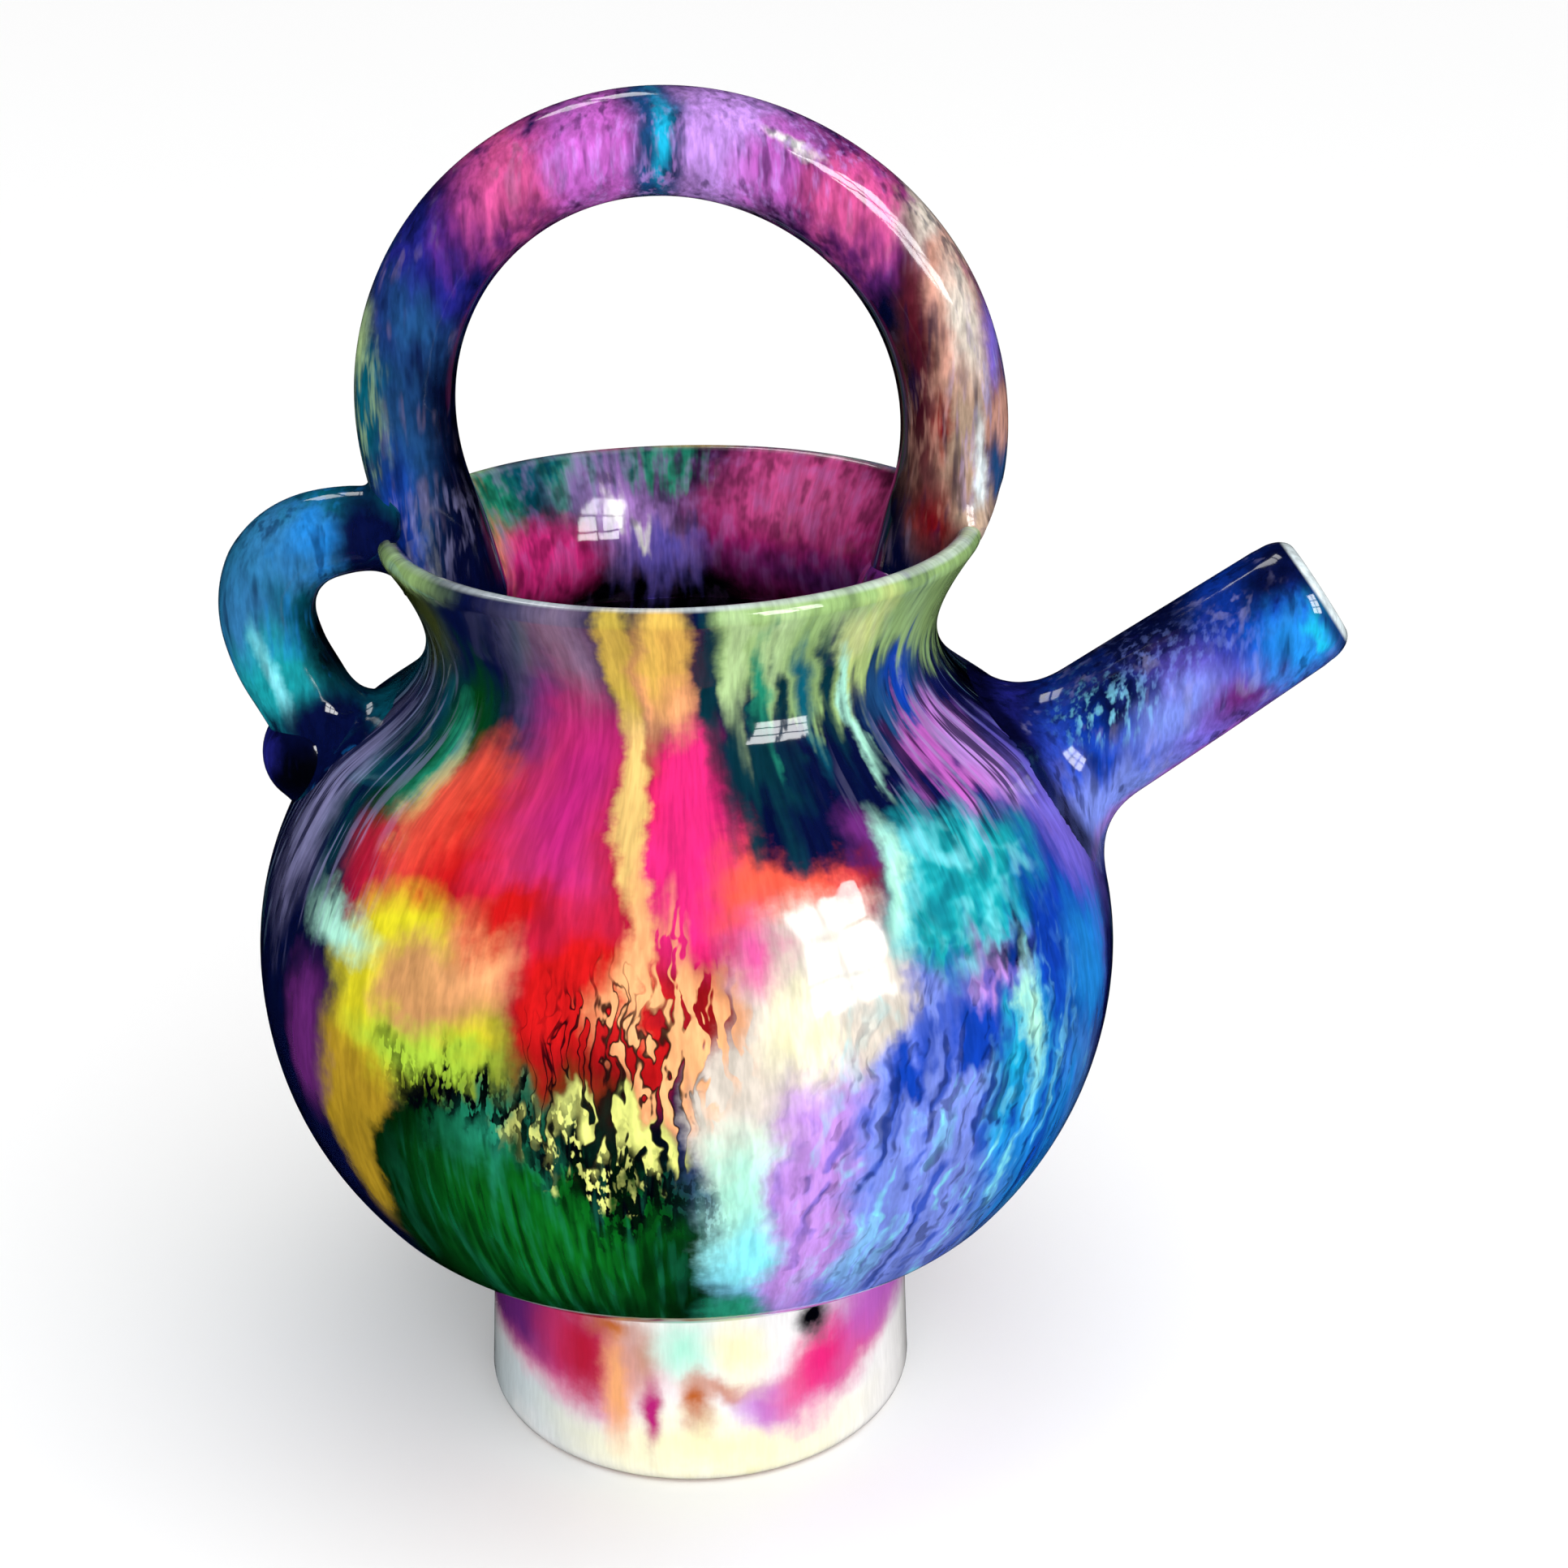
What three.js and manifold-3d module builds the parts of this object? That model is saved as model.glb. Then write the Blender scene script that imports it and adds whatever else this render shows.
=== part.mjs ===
// A glazed earthenware water jug: round belly on a foot, flared neck, hoop handle over the mouth,
// straight pouring spout and a one-finger loop at the back.
// Millimetres, +Z up. The origin is the middle of the flat base, and the spout points along +X.

import * as THREE from 'three';
import { mergeVertices } from 'three/addons/utils/BufferGeometryUtils.js';
import Module from 'manifold-3d';

const wasm = await Module();
wasm.setup();

// The slip line left between two pieces that were stuck together, and the thrown wall
const SLIP = 0.3;
const WALL = 5;

// Body of revolution, from the table upwards
const FOOT = { baseRadius: 44.4, topRadius: 43.2, edgeRound: 5, floor: 7, innerRound: 8 };
const BELLY = { radius: 85, lowerHeight: 78.2, upperHeight: 74, centreZ: 102.4, innerBevel: 1 };
const UNDERSIDE = { fromZ: 57, bendRadius: 64.8, bendZ: 51.3 };
const SHOULDER = { fromZ: 146, run: 6.2 };
const NECK = { wall: 4.4, waistRadius: 48.9, waistZ: 168, waistBelow: 11, waistAbove: 6.3 };
const LIP = { radius: 57.2, topZ: 189, round: 2.2, leanDeg: 35 };
const FOOT_SEAM_Z = 40.5;
const NECK_SEAM_Z = 158;

// Pouring spout: its axis leaves the belly at this point, at this slope
const SPOUT = { rootX: 75, rootZ: 139.1, slopeDeg: 34.3, length: 58.8, rootRadius: 14.4, tipRadius: 13 };
const SPOUT_BORE = { radius: 9.2, tipRound: 1.8, sunk: 9 };
const COLLAR = { height: 8, spread: 20.5, topWall: 1, edge: 1, clearance: 0.5 };

// Hoop handle: a rolled coil bent to a slightly leaning ring that stands astride the rim
const HOOP = { centreX: 0.9, centreZ: 207.8, longRadius: 52.5, shortRadius: 50, leanDeg: 135 };
const HOOP_COIL_RADIUS = 9.7;
const HOOP_ENDS = { fromDeg: -20, toDeg: 200, rightX: 44, leftX: -40.6, endZ: 176 };
const WAD = { x: 40.8, z: 171.5, depth: 7.5, width: 12.5, height: 9 };

// One-finger loop at the back, with the clay button that fixes its tail
const LOOP_COIL_RADIUS = 9;
const LOOP_LINE = [[-54, 187.6], [-63, 187.6], [-71.4, 185.4], [-77, 180.2], [-78.7, 173], [-77, 164.5],
  [-73.6, 156.5], [-69.6, 148.5]];
const PAD = { x: -72.6, z: 143.5, depth: 9.1, width: 11.2, height: 10 };

// Facets
const ROUND_STEPS = 40;
const SPOUT_STEPS = 24;
const OUTLINE_STEPS = { underside: 5, oval: 10, shoulder: 6, flare: 4 };
const EDGE_STEPS = 4;
const LIP_STEPS = 5;
const COLLAR_STEPS = 6;
const COIL_SIDES = 16;
const HOOP_STEPS = 40;
const HOOP_LINE_STEPS = 12;
const LOOP_STEPS = 22;
const LUMP_STEPS = { around: 16, upwards: 10 };
const MERGE_DISTANCE = 1e-3;

// A point is [radius, height] in every profile below
function arcPoints(radius, height, round, fromDeg, toDeg, steps) {
  const points = [];
  for (let i = 0; i <= steps; i += 1) {
    const angle = THREE.MathUtils.degToRad(THREE.MathUtils.lerp(fromDeg, toDeg, i / steps));
    points.push([radius + round * Math.cos(angle), height + round * Math.sin(angle)]);
  }
  return points;
}

// A smooth bend from the first point to the last, drawn towards the points between them
function bendPoints(corners, steps) {
  const points = corners.map(([r, z]) => new THREE.Vector2(r, z));
  const Curve = points.length === 3 ? THREE.QuadraticBezierCurve : THREE.CubicBezierCurve;
  return new Curve(...points).getPoints(steps).map((p) => [p.x, p.y]);
}

// The belly is an oval, a little flatter above its widest line than below it
function bellyPoint(latitude) {
  const halfHeight = latitude < 0 ? BELLY.lowerHeight : BELLY.upperHeight;
  return [BELLY.radius * Math.cos(latitude), BELLY.centreZ + halfHeight * Math.sin(latitude)];
}

function bellyLatitude(z) {
  const halfHeight = z < BELLY.centreZ ? BELLY.lowerHeight : BELLY.upperHeight;
  return Math.asin((z - BELLY.centreZ) / halfHeight);
}

// The jug's outline from the foot to the lip: underside, oval, shoulder sweeping into the neck, flare
function bodyOutline() {
  const lowest = bellyLatitude(UNDERSIDE.fromZ);
  const highest = bellyLatitude(SHOULDER.fromZ);
  const oval = [];
  for (let i = 0; i <= OUTLINE_STEPS.oval; i += 1) {
    oval.push(bellyPoint(THREE.MathUtils.lerp(lowest, highest, i / OUTLINE_STEPS.oval)));
  }
  const shoulder = oval.at(-1);
  const slope = BELLY.radius * Math.sin(highest) / (BELLY.upperHeight * Math.cos(highest));
  const waist = [NECK.waistRadius, NECK.waistZ];
  const underside = [[FOOT.topRadius, FOOT_SEAM_Z], [UNDERSIDE.bendRadius, UNDERSIDE.bendZ], oval[0]];
  const sweep = [
    shoulder,
    [shoulder[0] - SHOULDER.run * slope, shoulder[1] + SHOULDER.run],
    [waist[0], waist[1] - NECK.waistBelow],
    waist,
  ];
  const flare = [waist, [waist[0], waist[1] + NECK.waistAbove], lipPoints()[0]];
  return [
    ...bendPoints(underside, OUTLINE_STEPS.underside),
    ...oval.slice(1),
    ...bendPoints(sweep, OUTLINE_STEPS.shoulder).slice(1),
    ...bendPoints(flare, OUTLINE_STEPS.flare).slice(1),
  ];
}

function lipPoints(grow = 0) {
  const { radius, topZ, round, leanDeg } = LIP;
  return arcPoints(radius - round, topZ - round, round + grow, -leanDeg, 180 - leanDeg, LIP_STEPS);
}

// The same outline moved outwards, or inwards for a negative distance
function moved(points, distance) {
  return points.map(([r, z], i) => {
    const [r0, z0] = points[Math.max(i - 1, 0)];
    const [r1, z1] = points[Math.min(i + 1, points.length - 1)];
    const length = Math.hypot(r1 - r0, z1 - z0);
    return [r + distance * (z1 - z0) / length, z - distance * (r1 - r0) / length];
  });
}

// The stretch of an outline between two heights
function stretch(points, fromZ, toZ) {
  const radiusAt = (height) => {
    const above = points.findIndex(([, z]) => z > height);
    const [r0, z0] = points[above - 1];
    const [r1, z1] = points[above];
    return THREE.MathUtils.mapLinear(height, z0, z1, r0, r1);
  };
  const inner = points.filter(([, z]) => z > fromZ && z < toZ);
  return [[radiusAt(fromZ), fromZ], ...inner, [radiusAt(toZ), toZ]];
}

// Turns a profile about the Z axis
function turned(profile, steps = ROUND_STEPS) {
  const geometry = new THREE.LatheGeometry(profile.map(([r, z]) => new THREE.Vector2(r, z)), steps);
  return geometry.rotateX(Math.PI / 2);
}

// A rolled coil of clay along a line in the XZ plane
function coil(points, radius, steps) {
  const stations = points.map(([x, z]) => new THREE.Vector3(x, 0, z));
  const line = new THREE.CatmullRomCurve3(stations, false, 'centripetal');
  const section = new THREE.Shape();
  section.absarc(0, 0, radius, 0, 2 * Math.PI, false);
  return new THREE.ExtrudeGeometry(section, { steps, extrudePath: line, curveSegments: COIL_SIDES / 2 });
}

// A pressed lump of clay, longer or flatter along each axis
function lump({ x, z, depth, width, height }, grow = 0) {
  const geometry = new THREE.SphereGeometry(1, LUMP_STEPS.around, LUMP_STEPS.upwards);
  geometry.rotateX(Math.PI / 2);
  geometry.scale(depth + grow, width + grow, height + grow);
  return geometry.translate(x, 0, z);
}

// A solid for joining and cutting: corners merged, flat slivers dropped, faces outwards
function solid(geometry) {
  const bare = geometry.clone();
  bare.deleteAttribute('normal');
  bare.deleteAttribute('uv');
  const merged = mergeVertices(bare, MERGE_DISTANCE);
  const corners = merged.attributes.position;
  const faces = [];
  let volume = 0;
  for (let i = 0; i < merged.index.count; i += 3) {
    const face = [0, 1, 2].map((k) => merged.index.getX(i + k));
    if (new Set(face).size < 3) continue;
    const [a, b, c] = face.map((k) => new THREE.Vector3().fromBufferAttribute(corners, k));
    volume += a.dot(b.cross(c));
    faces.push(face);
  }
  const outward = volume > 0 ? faces : faces.map(([a, b, c]) => [a, c, b]);
  return new wasm.Manifold(new wasm.Mesh({
    numProp: 3,
    vertProperties: new Float32Array(corners.array),
    triVerts: new Uint32Array(outward.flat()),
  }));
}

function cut(piece, ...tools) {
  return tools.reduce((rest, tool) => rest.subtract(tool), piece);
}

const OUTLINE = bodyOutline();
const jug = new THREE.Group();

function addPiece(name, piece, color) {
  const { vertProperties, triVerts } = piece.getMesh();
  const geometry = new THREE.BufferGeometry();
  geometry.setAttribute('position', new THREE.BufferAttribute(vertProperties, 3));
  geometry.setIndex(new THREE.BufferAttribute(triVerts, 1));
  geometry.computeVertexNormals();
  const material = new THREE.MeshStandardMaterial({ color, roughness: 0.12, metalness: 0 });
  const mesh = new THREE.Mesh(geometry, material);
  mesh.name = name;
  jug.add(mesh);
}

// Foot: a cup with a flat base and a rounded lower edge, open upwards into the belly
function footProfile() {
  const { baseRadius, topRadius, edgeRound, floor, innerRound } = FOOT;
  const inside = topRadius - WALL;
  const top = FOOT_SEAM_Z - SLIP / 2;
  return [
    [0, 0],
    ...arcPoints(baseRadius - edgeRound, edgeRound, edgeRound, -90, 0, EDGE_STEPS),
    [topRadius, top],
    [inside, top],
    ...arcPoints(inside - innerRound, floor + innerRound, innerRound, 0, -90, EDGE_STEPS),
    [0, floor],
  ];
}

// Belly: an oval shell that is open at both ends
function bellyProfile() {
  const bottom = FOOT_SEAM_Z + SLIP / 2;
  const top = NECK_SEAM_Z - SLIP / 2;
  const inside = FOOT.topRadius - WALL;
  const floor = bottom + WALL;
  const outer = stretch(OUTLINE, bottom, top);
  const inner = stretch(moved(OUTLINE, -WALL), floor + BELLY.innerBevel, top);
  return [...outer, ...inner.reverse(), [inside, floor], [inside, bottom], outer[0]];
}

// Neck: a collar that flares to a rounded lip.
// With grow it is the same collar, thicker all round, to cut a clearance into what sits on it.
function neckProfile(grow = 0) {
  const bottom = NECK_SEAM_Z + SLIP / 2 - grow;
  const flareEnd = OUTLINE.at(-1)[1];
  const outer = stretch(moved(OUTLINE, grow), bottom, flareEnd - 2 * LIP.round);
  const inner = stretch(moved(OUTLINE, -NECK.wall - grow), bottom, flareEnd);
  return [...outer, ...lipPoints(grow), ...inner.reverse(), outer[0]];
}

// Spout and collar are turned about their own axis, then tipped over and set on the belly
function onSpoutAxis(geometry) {
  geometry.rotateY(THREE.MathUtils.degToRad(90 - SPOUT.slopeDeg));
  return geometry.translate(SPOUT.rootX, 0, SPOUT.rootZ);
}

function spoutProfile() {
  const { length, rootRadius, tipRadius } = SPOUT;
  const { radius, tipRound, sunk } = SPOUT_BORE;
  const start = [rootRadius, -sunk];
  return [
    start,
    [THREE.MathUtils.lerp(rootRadius, tipRadius, 0.5), length / 2],
    ...arcPoints(tipRadius - tipRound, length - tipRound, tipRound, 0, 180, EDGE_STEPS),
    [radius, length / 2],
    [radius, -sunk],
    start,
  ];
}

function spoutHole() {
  const { radius, sunk } = SPOUT_BORE;
  return [[0, -2 * sunk], [radius, -2 * sunk], [radius, sunk], [0, sunk]];
}

// Collar: the trumpet of clay smoothed round the spout's root
function collarProfile() {
  const { height, spread, topWall, edge, clearance } = COLLAR;
  const inside = SPOUT.rootRadius + clearance;
  const drop = spread * spread / (2 * BELLY.radius);
  const start = [inside, -SPOUT_BORE.sunk];
  const trumpet = [[spread, edge - drop], [inside + topWall, edge - drop], [inside + topWall, height]];
  return [
    start,
    [spread, -SPOUT_BORE.sunk],
    ...bendPoints(trumpet, COLLAR_STEPS),
    [inside, height],
    start,
  ];
}

function hoopLine() {
  const { centreX, centreZ, longRadius, shortRadius, leanDeg } = HOOP;
  const lean = THREE.MathUtils.degToRad(leanDeg);
  const points = [[HOOP_ENDS.rightX, HOOP_ENDS.endZ]];
  for (let i = 0; i <= HOOP_LINE_STEPS; i += 1) {
    const share = i / HOOP_LINE_STEPS;
    const turn = THREE.MathUtils.degToRad(THREE.MathUtils.lerp(HOOP_ENDS.fromDeg, HOOP_ENDS.toDeg, share));
    const along = longRadius * Math.cos(turn - lean);
    const across = shortRadius * Math.sin(turn - lean);
    points.push([
      centreX + along * Math.cos(lean) - across * Math.sin(lean),
      centreZ + along * Math.sin(lean) + across * Math.cos(lean),
    ]);
  }
  points.push([HOOP_ENDS.leftX, HOOP_ENDS.endZ]);
  return points;
}

// Cutters: each neighbour, grown by the slip line
const bellySkin = stretch(moved(OUTLINE, SLIP), UNDERSIDE.fromZ, NECK_SEAM_Z);
const bellyCutter = solid(turned([[0, UNDERSIDE.fromZ], ...bellySkin, [0, NECK_SEAM_Z]]));
const neckCutter = solid(turned(neckProfile(SLIP)));
const hoopCutter = solid(coil(hoopLine(), HOOP_COIL_RADIUS + SLIP, HOOP_STEPS));
const padCutter = solid(lump(PAD, SLIP));

addPiece('foot', solid(turned(footProfile())), 0xf0d6d3);

const bellyShell = solid(turned(bellyProfile()));
const pourHole = solid(onSpoutAxis(turned(spoutHole(), SPOUT_STEPS)));
addPiece('belly', cut(bellyShell, pourHole), 0x7a4f9c);

addPiece('neck', solid(turned(neckProfile())), 0x8f9a5f);

const spoutTube = solid(onSpoutAxis(turned(spoutProfile(), SPOUT_STEPS)));
addPiece('spout', cut(spoutTube, bellyCutter), 0x2c57b0);

const spoutCollar = solid(onSpoutAxis(turned(collarProfile(), SPOUT_STEPS)));
addPiece('spout_collar', cut(spoutCollar, bellyCutter), 0x6c6cc4);

const hoop = solid(coil(hoopLine(), HOOP_COIL_RADIUS, HOOP_STEPS));
addPiece('hoop_handle', cut(hoop, neckCutter), 0x8c5aa2);

for (const [side, name] of [[-1, 'hoop_wad_left'], [1, 'hoop_wad_right']]) {
  const wad = solid(lump({ ...WAD, x: side * WAD.x }));
  addPiece(name, cut(wad, neckCutter, hoopCutter), 0x33406f);
}

const loop = solid(coil(LOOP_LINE, LOOP_COIL_RADIUS, LOOP_STEPS));
addPiece('side_handle', cut(loop, neckCutter, hoopCutter, padCutter, bellyCutter), 0x1f86a8);

addPiece('side_handle_pad', cut(solid(lump(PAD)), bellyCutter), 0x1b2146);

export default jug;
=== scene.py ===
import math

import bpy
import numpy as np
from mathutils import Matrix, Vector


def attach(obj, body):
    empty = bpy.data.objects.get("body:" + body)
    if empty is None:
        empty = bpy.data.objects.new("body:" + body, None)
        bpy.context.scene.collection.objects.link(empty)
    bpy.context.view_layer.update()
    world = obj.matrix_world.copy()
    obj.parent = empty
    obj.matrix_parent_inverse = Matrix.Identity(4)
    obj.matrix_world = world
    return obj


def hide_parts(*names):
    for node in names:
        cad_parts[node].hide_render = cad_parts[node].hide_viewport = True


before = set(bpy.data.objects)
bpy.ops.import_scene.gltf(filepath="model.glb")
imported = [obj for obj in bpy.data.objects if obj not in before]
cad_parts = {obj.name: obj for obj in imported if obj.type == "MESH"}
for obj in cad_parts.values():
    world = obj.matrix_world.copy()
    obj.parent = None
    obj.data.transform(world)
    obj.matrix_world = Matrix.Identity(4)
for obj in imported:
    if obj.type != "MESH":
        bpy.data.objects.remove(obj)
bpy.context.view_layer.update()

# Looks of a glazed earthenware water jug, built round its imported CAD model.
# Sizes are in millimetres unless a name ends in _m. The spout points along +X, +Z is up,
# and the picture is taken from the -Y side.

MM = 0.001

# Thrown body, the same sizes as the CAD model
WALL = 5.0
FOOT_BASE_RADIUS = 44.4
FOOT_TOP_RADIUS = 43.2
FOOT_EDGE_ROUND = 5.0
FOOT_FLOOR = 7.0
FOOT_INNER_ROUND = 8.0
FOOT_SEAM_Z = 40.5
FOOT_FILLET = 2.4
FOOT_FILLET_SUNK = 0.6
FOOT_BEND_Z = 24.0
FOOT_SUNK = 1.6
FOOT_BASE_RINGS = (0, 12, 26)
FOOT_FLOOR_RINGS = (12, 0)
BELLY_RADIUS = 85.0
BELLY_LOWER_HEIGHT = 78.2
BELLY_UPPER_HEIGHT = 74.0
BELLY_CENTRE_Z = 102.4
UNDERSIDE_FROM_Z = 57.0
UNDERSIDE_BEND = (64.8, 51.3)
SHOULDER_FROM_Z = 146.0
SHOULDER_RUN = 6.2
BELLY_INNER_BEVEL = 1.2
BELLY_SEAM_GAP = 0.2
NECK_SEAM_Z = 158.0
NECK_WALL = 4.4
NECK_SUNK = 2.0
NECK_TUCK = (0.06, 0.15)
WAIST_RADIUS = 48.9
WAIST_Z = 168.0
WAIST_BELOW = 11.0
WAIST_ABOVE = 6.3
LIP_RADIUS = 57.2
LIP_TOP_Z = 189.0
LIP_ROUND = 2.2
LIP_LEAN = 35.0
# How deep in the wall the inside's glaze starts
INSIDE_FROM = 1.5

# Wander of the hand in X, Y and Z: how much, how often along X, Y and Z, and where it starts
HAND_WAVES = (
    ((0.34, (0.0, 1.1, 2.3), 0.4), (0.16, (-2.2, 0.0, 5.1), 1.9)),
    ((0.34, (-1.3, 0.0, 2.0), 2.1), (0.16, (0.0, 2.6, 4.7), 0.3)),
    ((0.22, (1.9, 2.3, 0.0), 0.8), (0.10, (4.4, -3.6, 0.0), 2.7)),
)
HAND_SPAN = 60.0
HAND_STEADY_BELOW = 25.0

# Spout, set on the belly at a slope
SPOUT_ROOT = (75.0, 139.1)
SPOUT_SLOPE = 34.3
SPOUT_LENGTH = 58.8
SPOUT_ROOT_RADIUS = 14.4
SPOUT_TIP_RADIUS = 13.0
SPOUT_BORE = 9.2
SPOUT_LIP_SHARE = 0.95
SPOUT_LIP_DROP = 5.6
SPOUT_SUNK = 7.0
COLLAR_REACH = 11.0
COLLAR_HIDDEN = 1.5
COLLAR_SEARCH = (-25.0, 40.0)

# Hoop handle, a rolled coil astride the rim
HOOP_CENTRE = (0.9, 207.8)
HOOP_LONG_RADIUS = 52.5
HOOP_SHORT_RADIUS = 50.0
HOOP_LEAN = 135.0
HOOP_FROM = -20.0
HOOP_TO = 200.0
HOOP_RIGHT_END = (44.5, 169.0)
HOOP_LEFT_END = (-40.5, 167.0)
HOOP_LEG_RUN = 6.0
HOOP_END_ROUND = 8.0
HOOP_END_THIN = 0.12
# Furthest out that the hoop's clay is smeared, at each height on the rim and neck
HOOP_SMEAR_Z = (168, 174, 178, 182, 186, 190, 195, 203)
HOOP_SMEAR_RADIUS = (47.5, 48.8, 50.9, 53.6, 57.2, 59.2, 61.0, 65.0)
HOOP_COIL = 9.7
HOOP_COIL_SPREAD = 0.45
HOOP_FLARE = 2.4
HOOP_FLARE_WIDTH = 7.0
# How far into the hoop the loop's root may reach
HOOP_TOUCH = 0.4
WAD_X = 40.8
WAD_Z = 171.5
WAD_SIZE = (7.5, 12.5, 9.0)
WAD_FLARE = 2.0
WAD_FLARE_WIDTH = 5.0
WAD_SHORT_OF_OUTSIDE = 1.6

# One-finger loop at the back, and the button of clay on its tail
LOOP_LINE = ((-52, 188.4), (-63, 188.6), (-71.6, 186.2), (-77.3, 180.6), (-79.1, 173), (-77.2, 164.5), (-73.3, 156.6),
             (-68.6, 147.5), (-65.0, 141.5))
LOOP_COIL_ALONG = (0.0, 0.12, 0.4, 1.0)
LOOP_COIL = (7.7, 8.1, 9.2, 9.0)
# How far the roots spread at the loop's two ends, on its outer side and in its hole
LOOP_REACH = ((2.5, 5.0), (4.0, 9.5))
ROOT_EDGE = 0.8
PAD_CENTRE = (-72.6, 144.2)
PAD_SIZE = (9.1, 11.2, 10.0)
PAD_FLARE = 0.6
PAD_FLARE_WIDTH = 2.5

# Fineness of the meshes
TURNS = 192
BELLY_STEPS = 72
UNDERSIDE_STEPS = 22
SHOULDER_STEPS = 28
FLARE_STEPS = 18
LIP_STEPS = 14
FOOT_SIDE_STEPS = 14
FOOT_ROUND_STEPS = 10
FOOT_FILLET_STEPS = 6
SPOUT_TURNS = 72
SPOUT_STEPS = 39
SPOUT_LIP_STEPS = (12, 5)
BORE_STEPS = 20
COLLAR_ROWS = 19
COLLAR_HALVINGS = 40
COIL_SIDES = 48
HOOP_STEPS = 160
HOOP_LEG_STEPS = 14
LOOP_STEPS = 120
LINE_STEPS = 24
ROOT_ROWS = 14
ROOT_SMOOTHINGS = 3
LUMP_RINGS = 28
LUMP_SIDES = 40
LUMP_POLE = 2.0
CREASE = 38.0
POINTS_AT_ONCE = 20000
TINY = 1e-9
WELD_M = 1e-6
AXLE_M = 0.001


def bend(corners, steps):
    """Points on a smooth bend from the first corner to the last, drawn towards those between."""
    t = np.linspace(0, 1, steps + 1)[:, None]
    points = [np.array(c, float)[None, :] for c in corners]
    while len(points) > 1:
        points = [a * (1 - t) + b * t for a, b in zip(points, points[1:])]
    return points[0]


def arc(centre, half_width, half_height, from_deg, to_deg, steps):
    turn = np.radians(np.linspace(from_deg, to_deg, steps + 1))
    return np.stack([centre[0] + half_width * np.cos(turn), centre[1] + half_height * np.sin(turn)], -1)


def lip_arc():
    centre = (LIP_RADIUS - LIP_ROUND, LIP_TOP_Z - LIP_ROUND)
    return arc(centre, LIP_ROUND, LIP_ROUND, -LIP_LEAN, 180 - LIP_LEAN, LIP_STEPS)


def body_outline():
    """The jug's outline from the foot's seam to the lip, as radius and height."""
    low = math.asin((UNDERSIDE_FROM_Z - BELLY_CENTRE_Z) / BELLY_LOWER_HEIGHT)
    high = math.asin((SHOULDER_FROM_Z - BELLY_CENTRE_Z) / BELLY_UPPER_HEIGHT)
    turn = np.linspace(low, high, BELLY_STEPS + 1)
    half_height = np.where(turn < 0, BELLY_LOWER_HEIGHT, BELLY_UPPER_HEIGHT)
    oval = np.stack([BELLY_RADIUS * np.cos(turn), BELLY_CENTRE_Z + half_height * np.sin(turn)], -1)
    slope = BELLY_RADIUS * math.sin(high) / (BELLY_UPPER_HEIGHT * math.cos(high))
    shoulder = oval[-1]
    waist = (WAIST_RADIUS, WAIST_Z)
    underside = bend([(FOOT_TOP_RADIUS, FOOT_SEAM_Z), UNDERSIDE_BEND, oval[0]], UNDERSIDE_STEPS)
    run_out = (shoulder[0] - SHOULDER_RUN * slope, shoulder[1] + SHOULDER_RUN)
    sweep = bend([shoulder, run_out, (WAIST_RADIUS, WAIST_Z - WAIST_BELOW), waist], SHOULDER_STEPS)
    flare = bend([waist, (WAIST_RADIUS, WAIST_Z + WAIST_ABOVE), lip_arc()[0]], FLARE_STEPS)
    return np.concatenate([underside, oval[1:], sweep[1:], flare[1:]])


def moved(points, distance):
    """The same outline moved outwards, or inwards for a negative distance."""
    before = np.vstack([points[:1], points[:-1]])
    after = np.vstack([points[1:], points[-1:]])
    way = after - before
    way /= np.linalg.norm(way, axis=1, keepdims=True)
    return points + distance * np.stack([way[:, 1], -way[:, 0]], -1)


def stretch(points, from_z, to_z):
    """The part of an outline between two heights."""
    ends = [(np.interp(z, points[:, 1], points[:, 0]), z) for z in (from_z, to_z)]
    inner = points[(points[:, 1] > from_z) & (points[:, 1] < to_z)]
    return np.vstack([ends[:1], inner, ends[1:]])


OUTLINE = body_outline()
OUTLINE_INSIDE = moved(OUTLINE, -WALL)
NECK_INSIDE = moved(OUTLINE, -NECK_WALL)


# The clay of belly and neck as one closed loop, and the same filled up to its axis
WALL_LOOP = np.vstack([OUTLINE[::2], lip_arc()[1:-1:2], NECK_INSIDE[::-2]])
FILLED_LOOP = np.vstack([[(0, FOOT_SEAM_Z)], OUTLINE[::2], lip_arc()[1:LIP_STEPS // 2 + 1:2], [(0, LIP_TOP_Z)]])


def loop_distance(points, loop):
    """How far points are from clay turned about the Z axis, negative inside it."""
    q = np.stack([np.hypot(points[:, 0], points[:, 1]), points[:, 2]], -1)
    a = loop
    b = np.roll(loop, -1, axis=0)
    edge = b - a
    rise = np.where(edge[:, 1] == 0, TINY, edge[:, 1])
    found = []
    for start in range(0, len(q), POINTS_AT_ONCE):
        part = q[start:start + POINTS_AT_ONCE]
        rel = part[:, None, :] - a[None]
        share = np.clip((rel * edge).sum(-1) / (edge * edge).sum(-1), 0, 1)
        gap = np.linalg.norm(rel - share[..., None] * edge, axis=-1).min(1)
        height = part[:, 1:2]
        crosses = (a[None, :, 1] > height) != (b[None, :, 1] > height)
        at = a[None, :, 0] + (height - a[None, :, 1]) / rise * edge[None, :, 0]
        inside = (crosses & (part[:, 0:1] < at)).sum(1) % 2 == 1
        found.append(np.where(inside, -gap, gap))
    return np.concatenate(found)


def wall_distance(points):
    return loop_distance(points, WALL_LOOP)


def filled_distance(points):
    return loop_distance(points, FILLED_LOOP)


def flared(points, ways, height, width, distance):
    """Clay thickened along its ways where it comes near a neighbour, as a thumb spreads a joint."""
    near = np.clip(1 - distance(points) / width, 0, 1)
    return points + (height * near ** 2)[:, None] * ways


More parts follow.
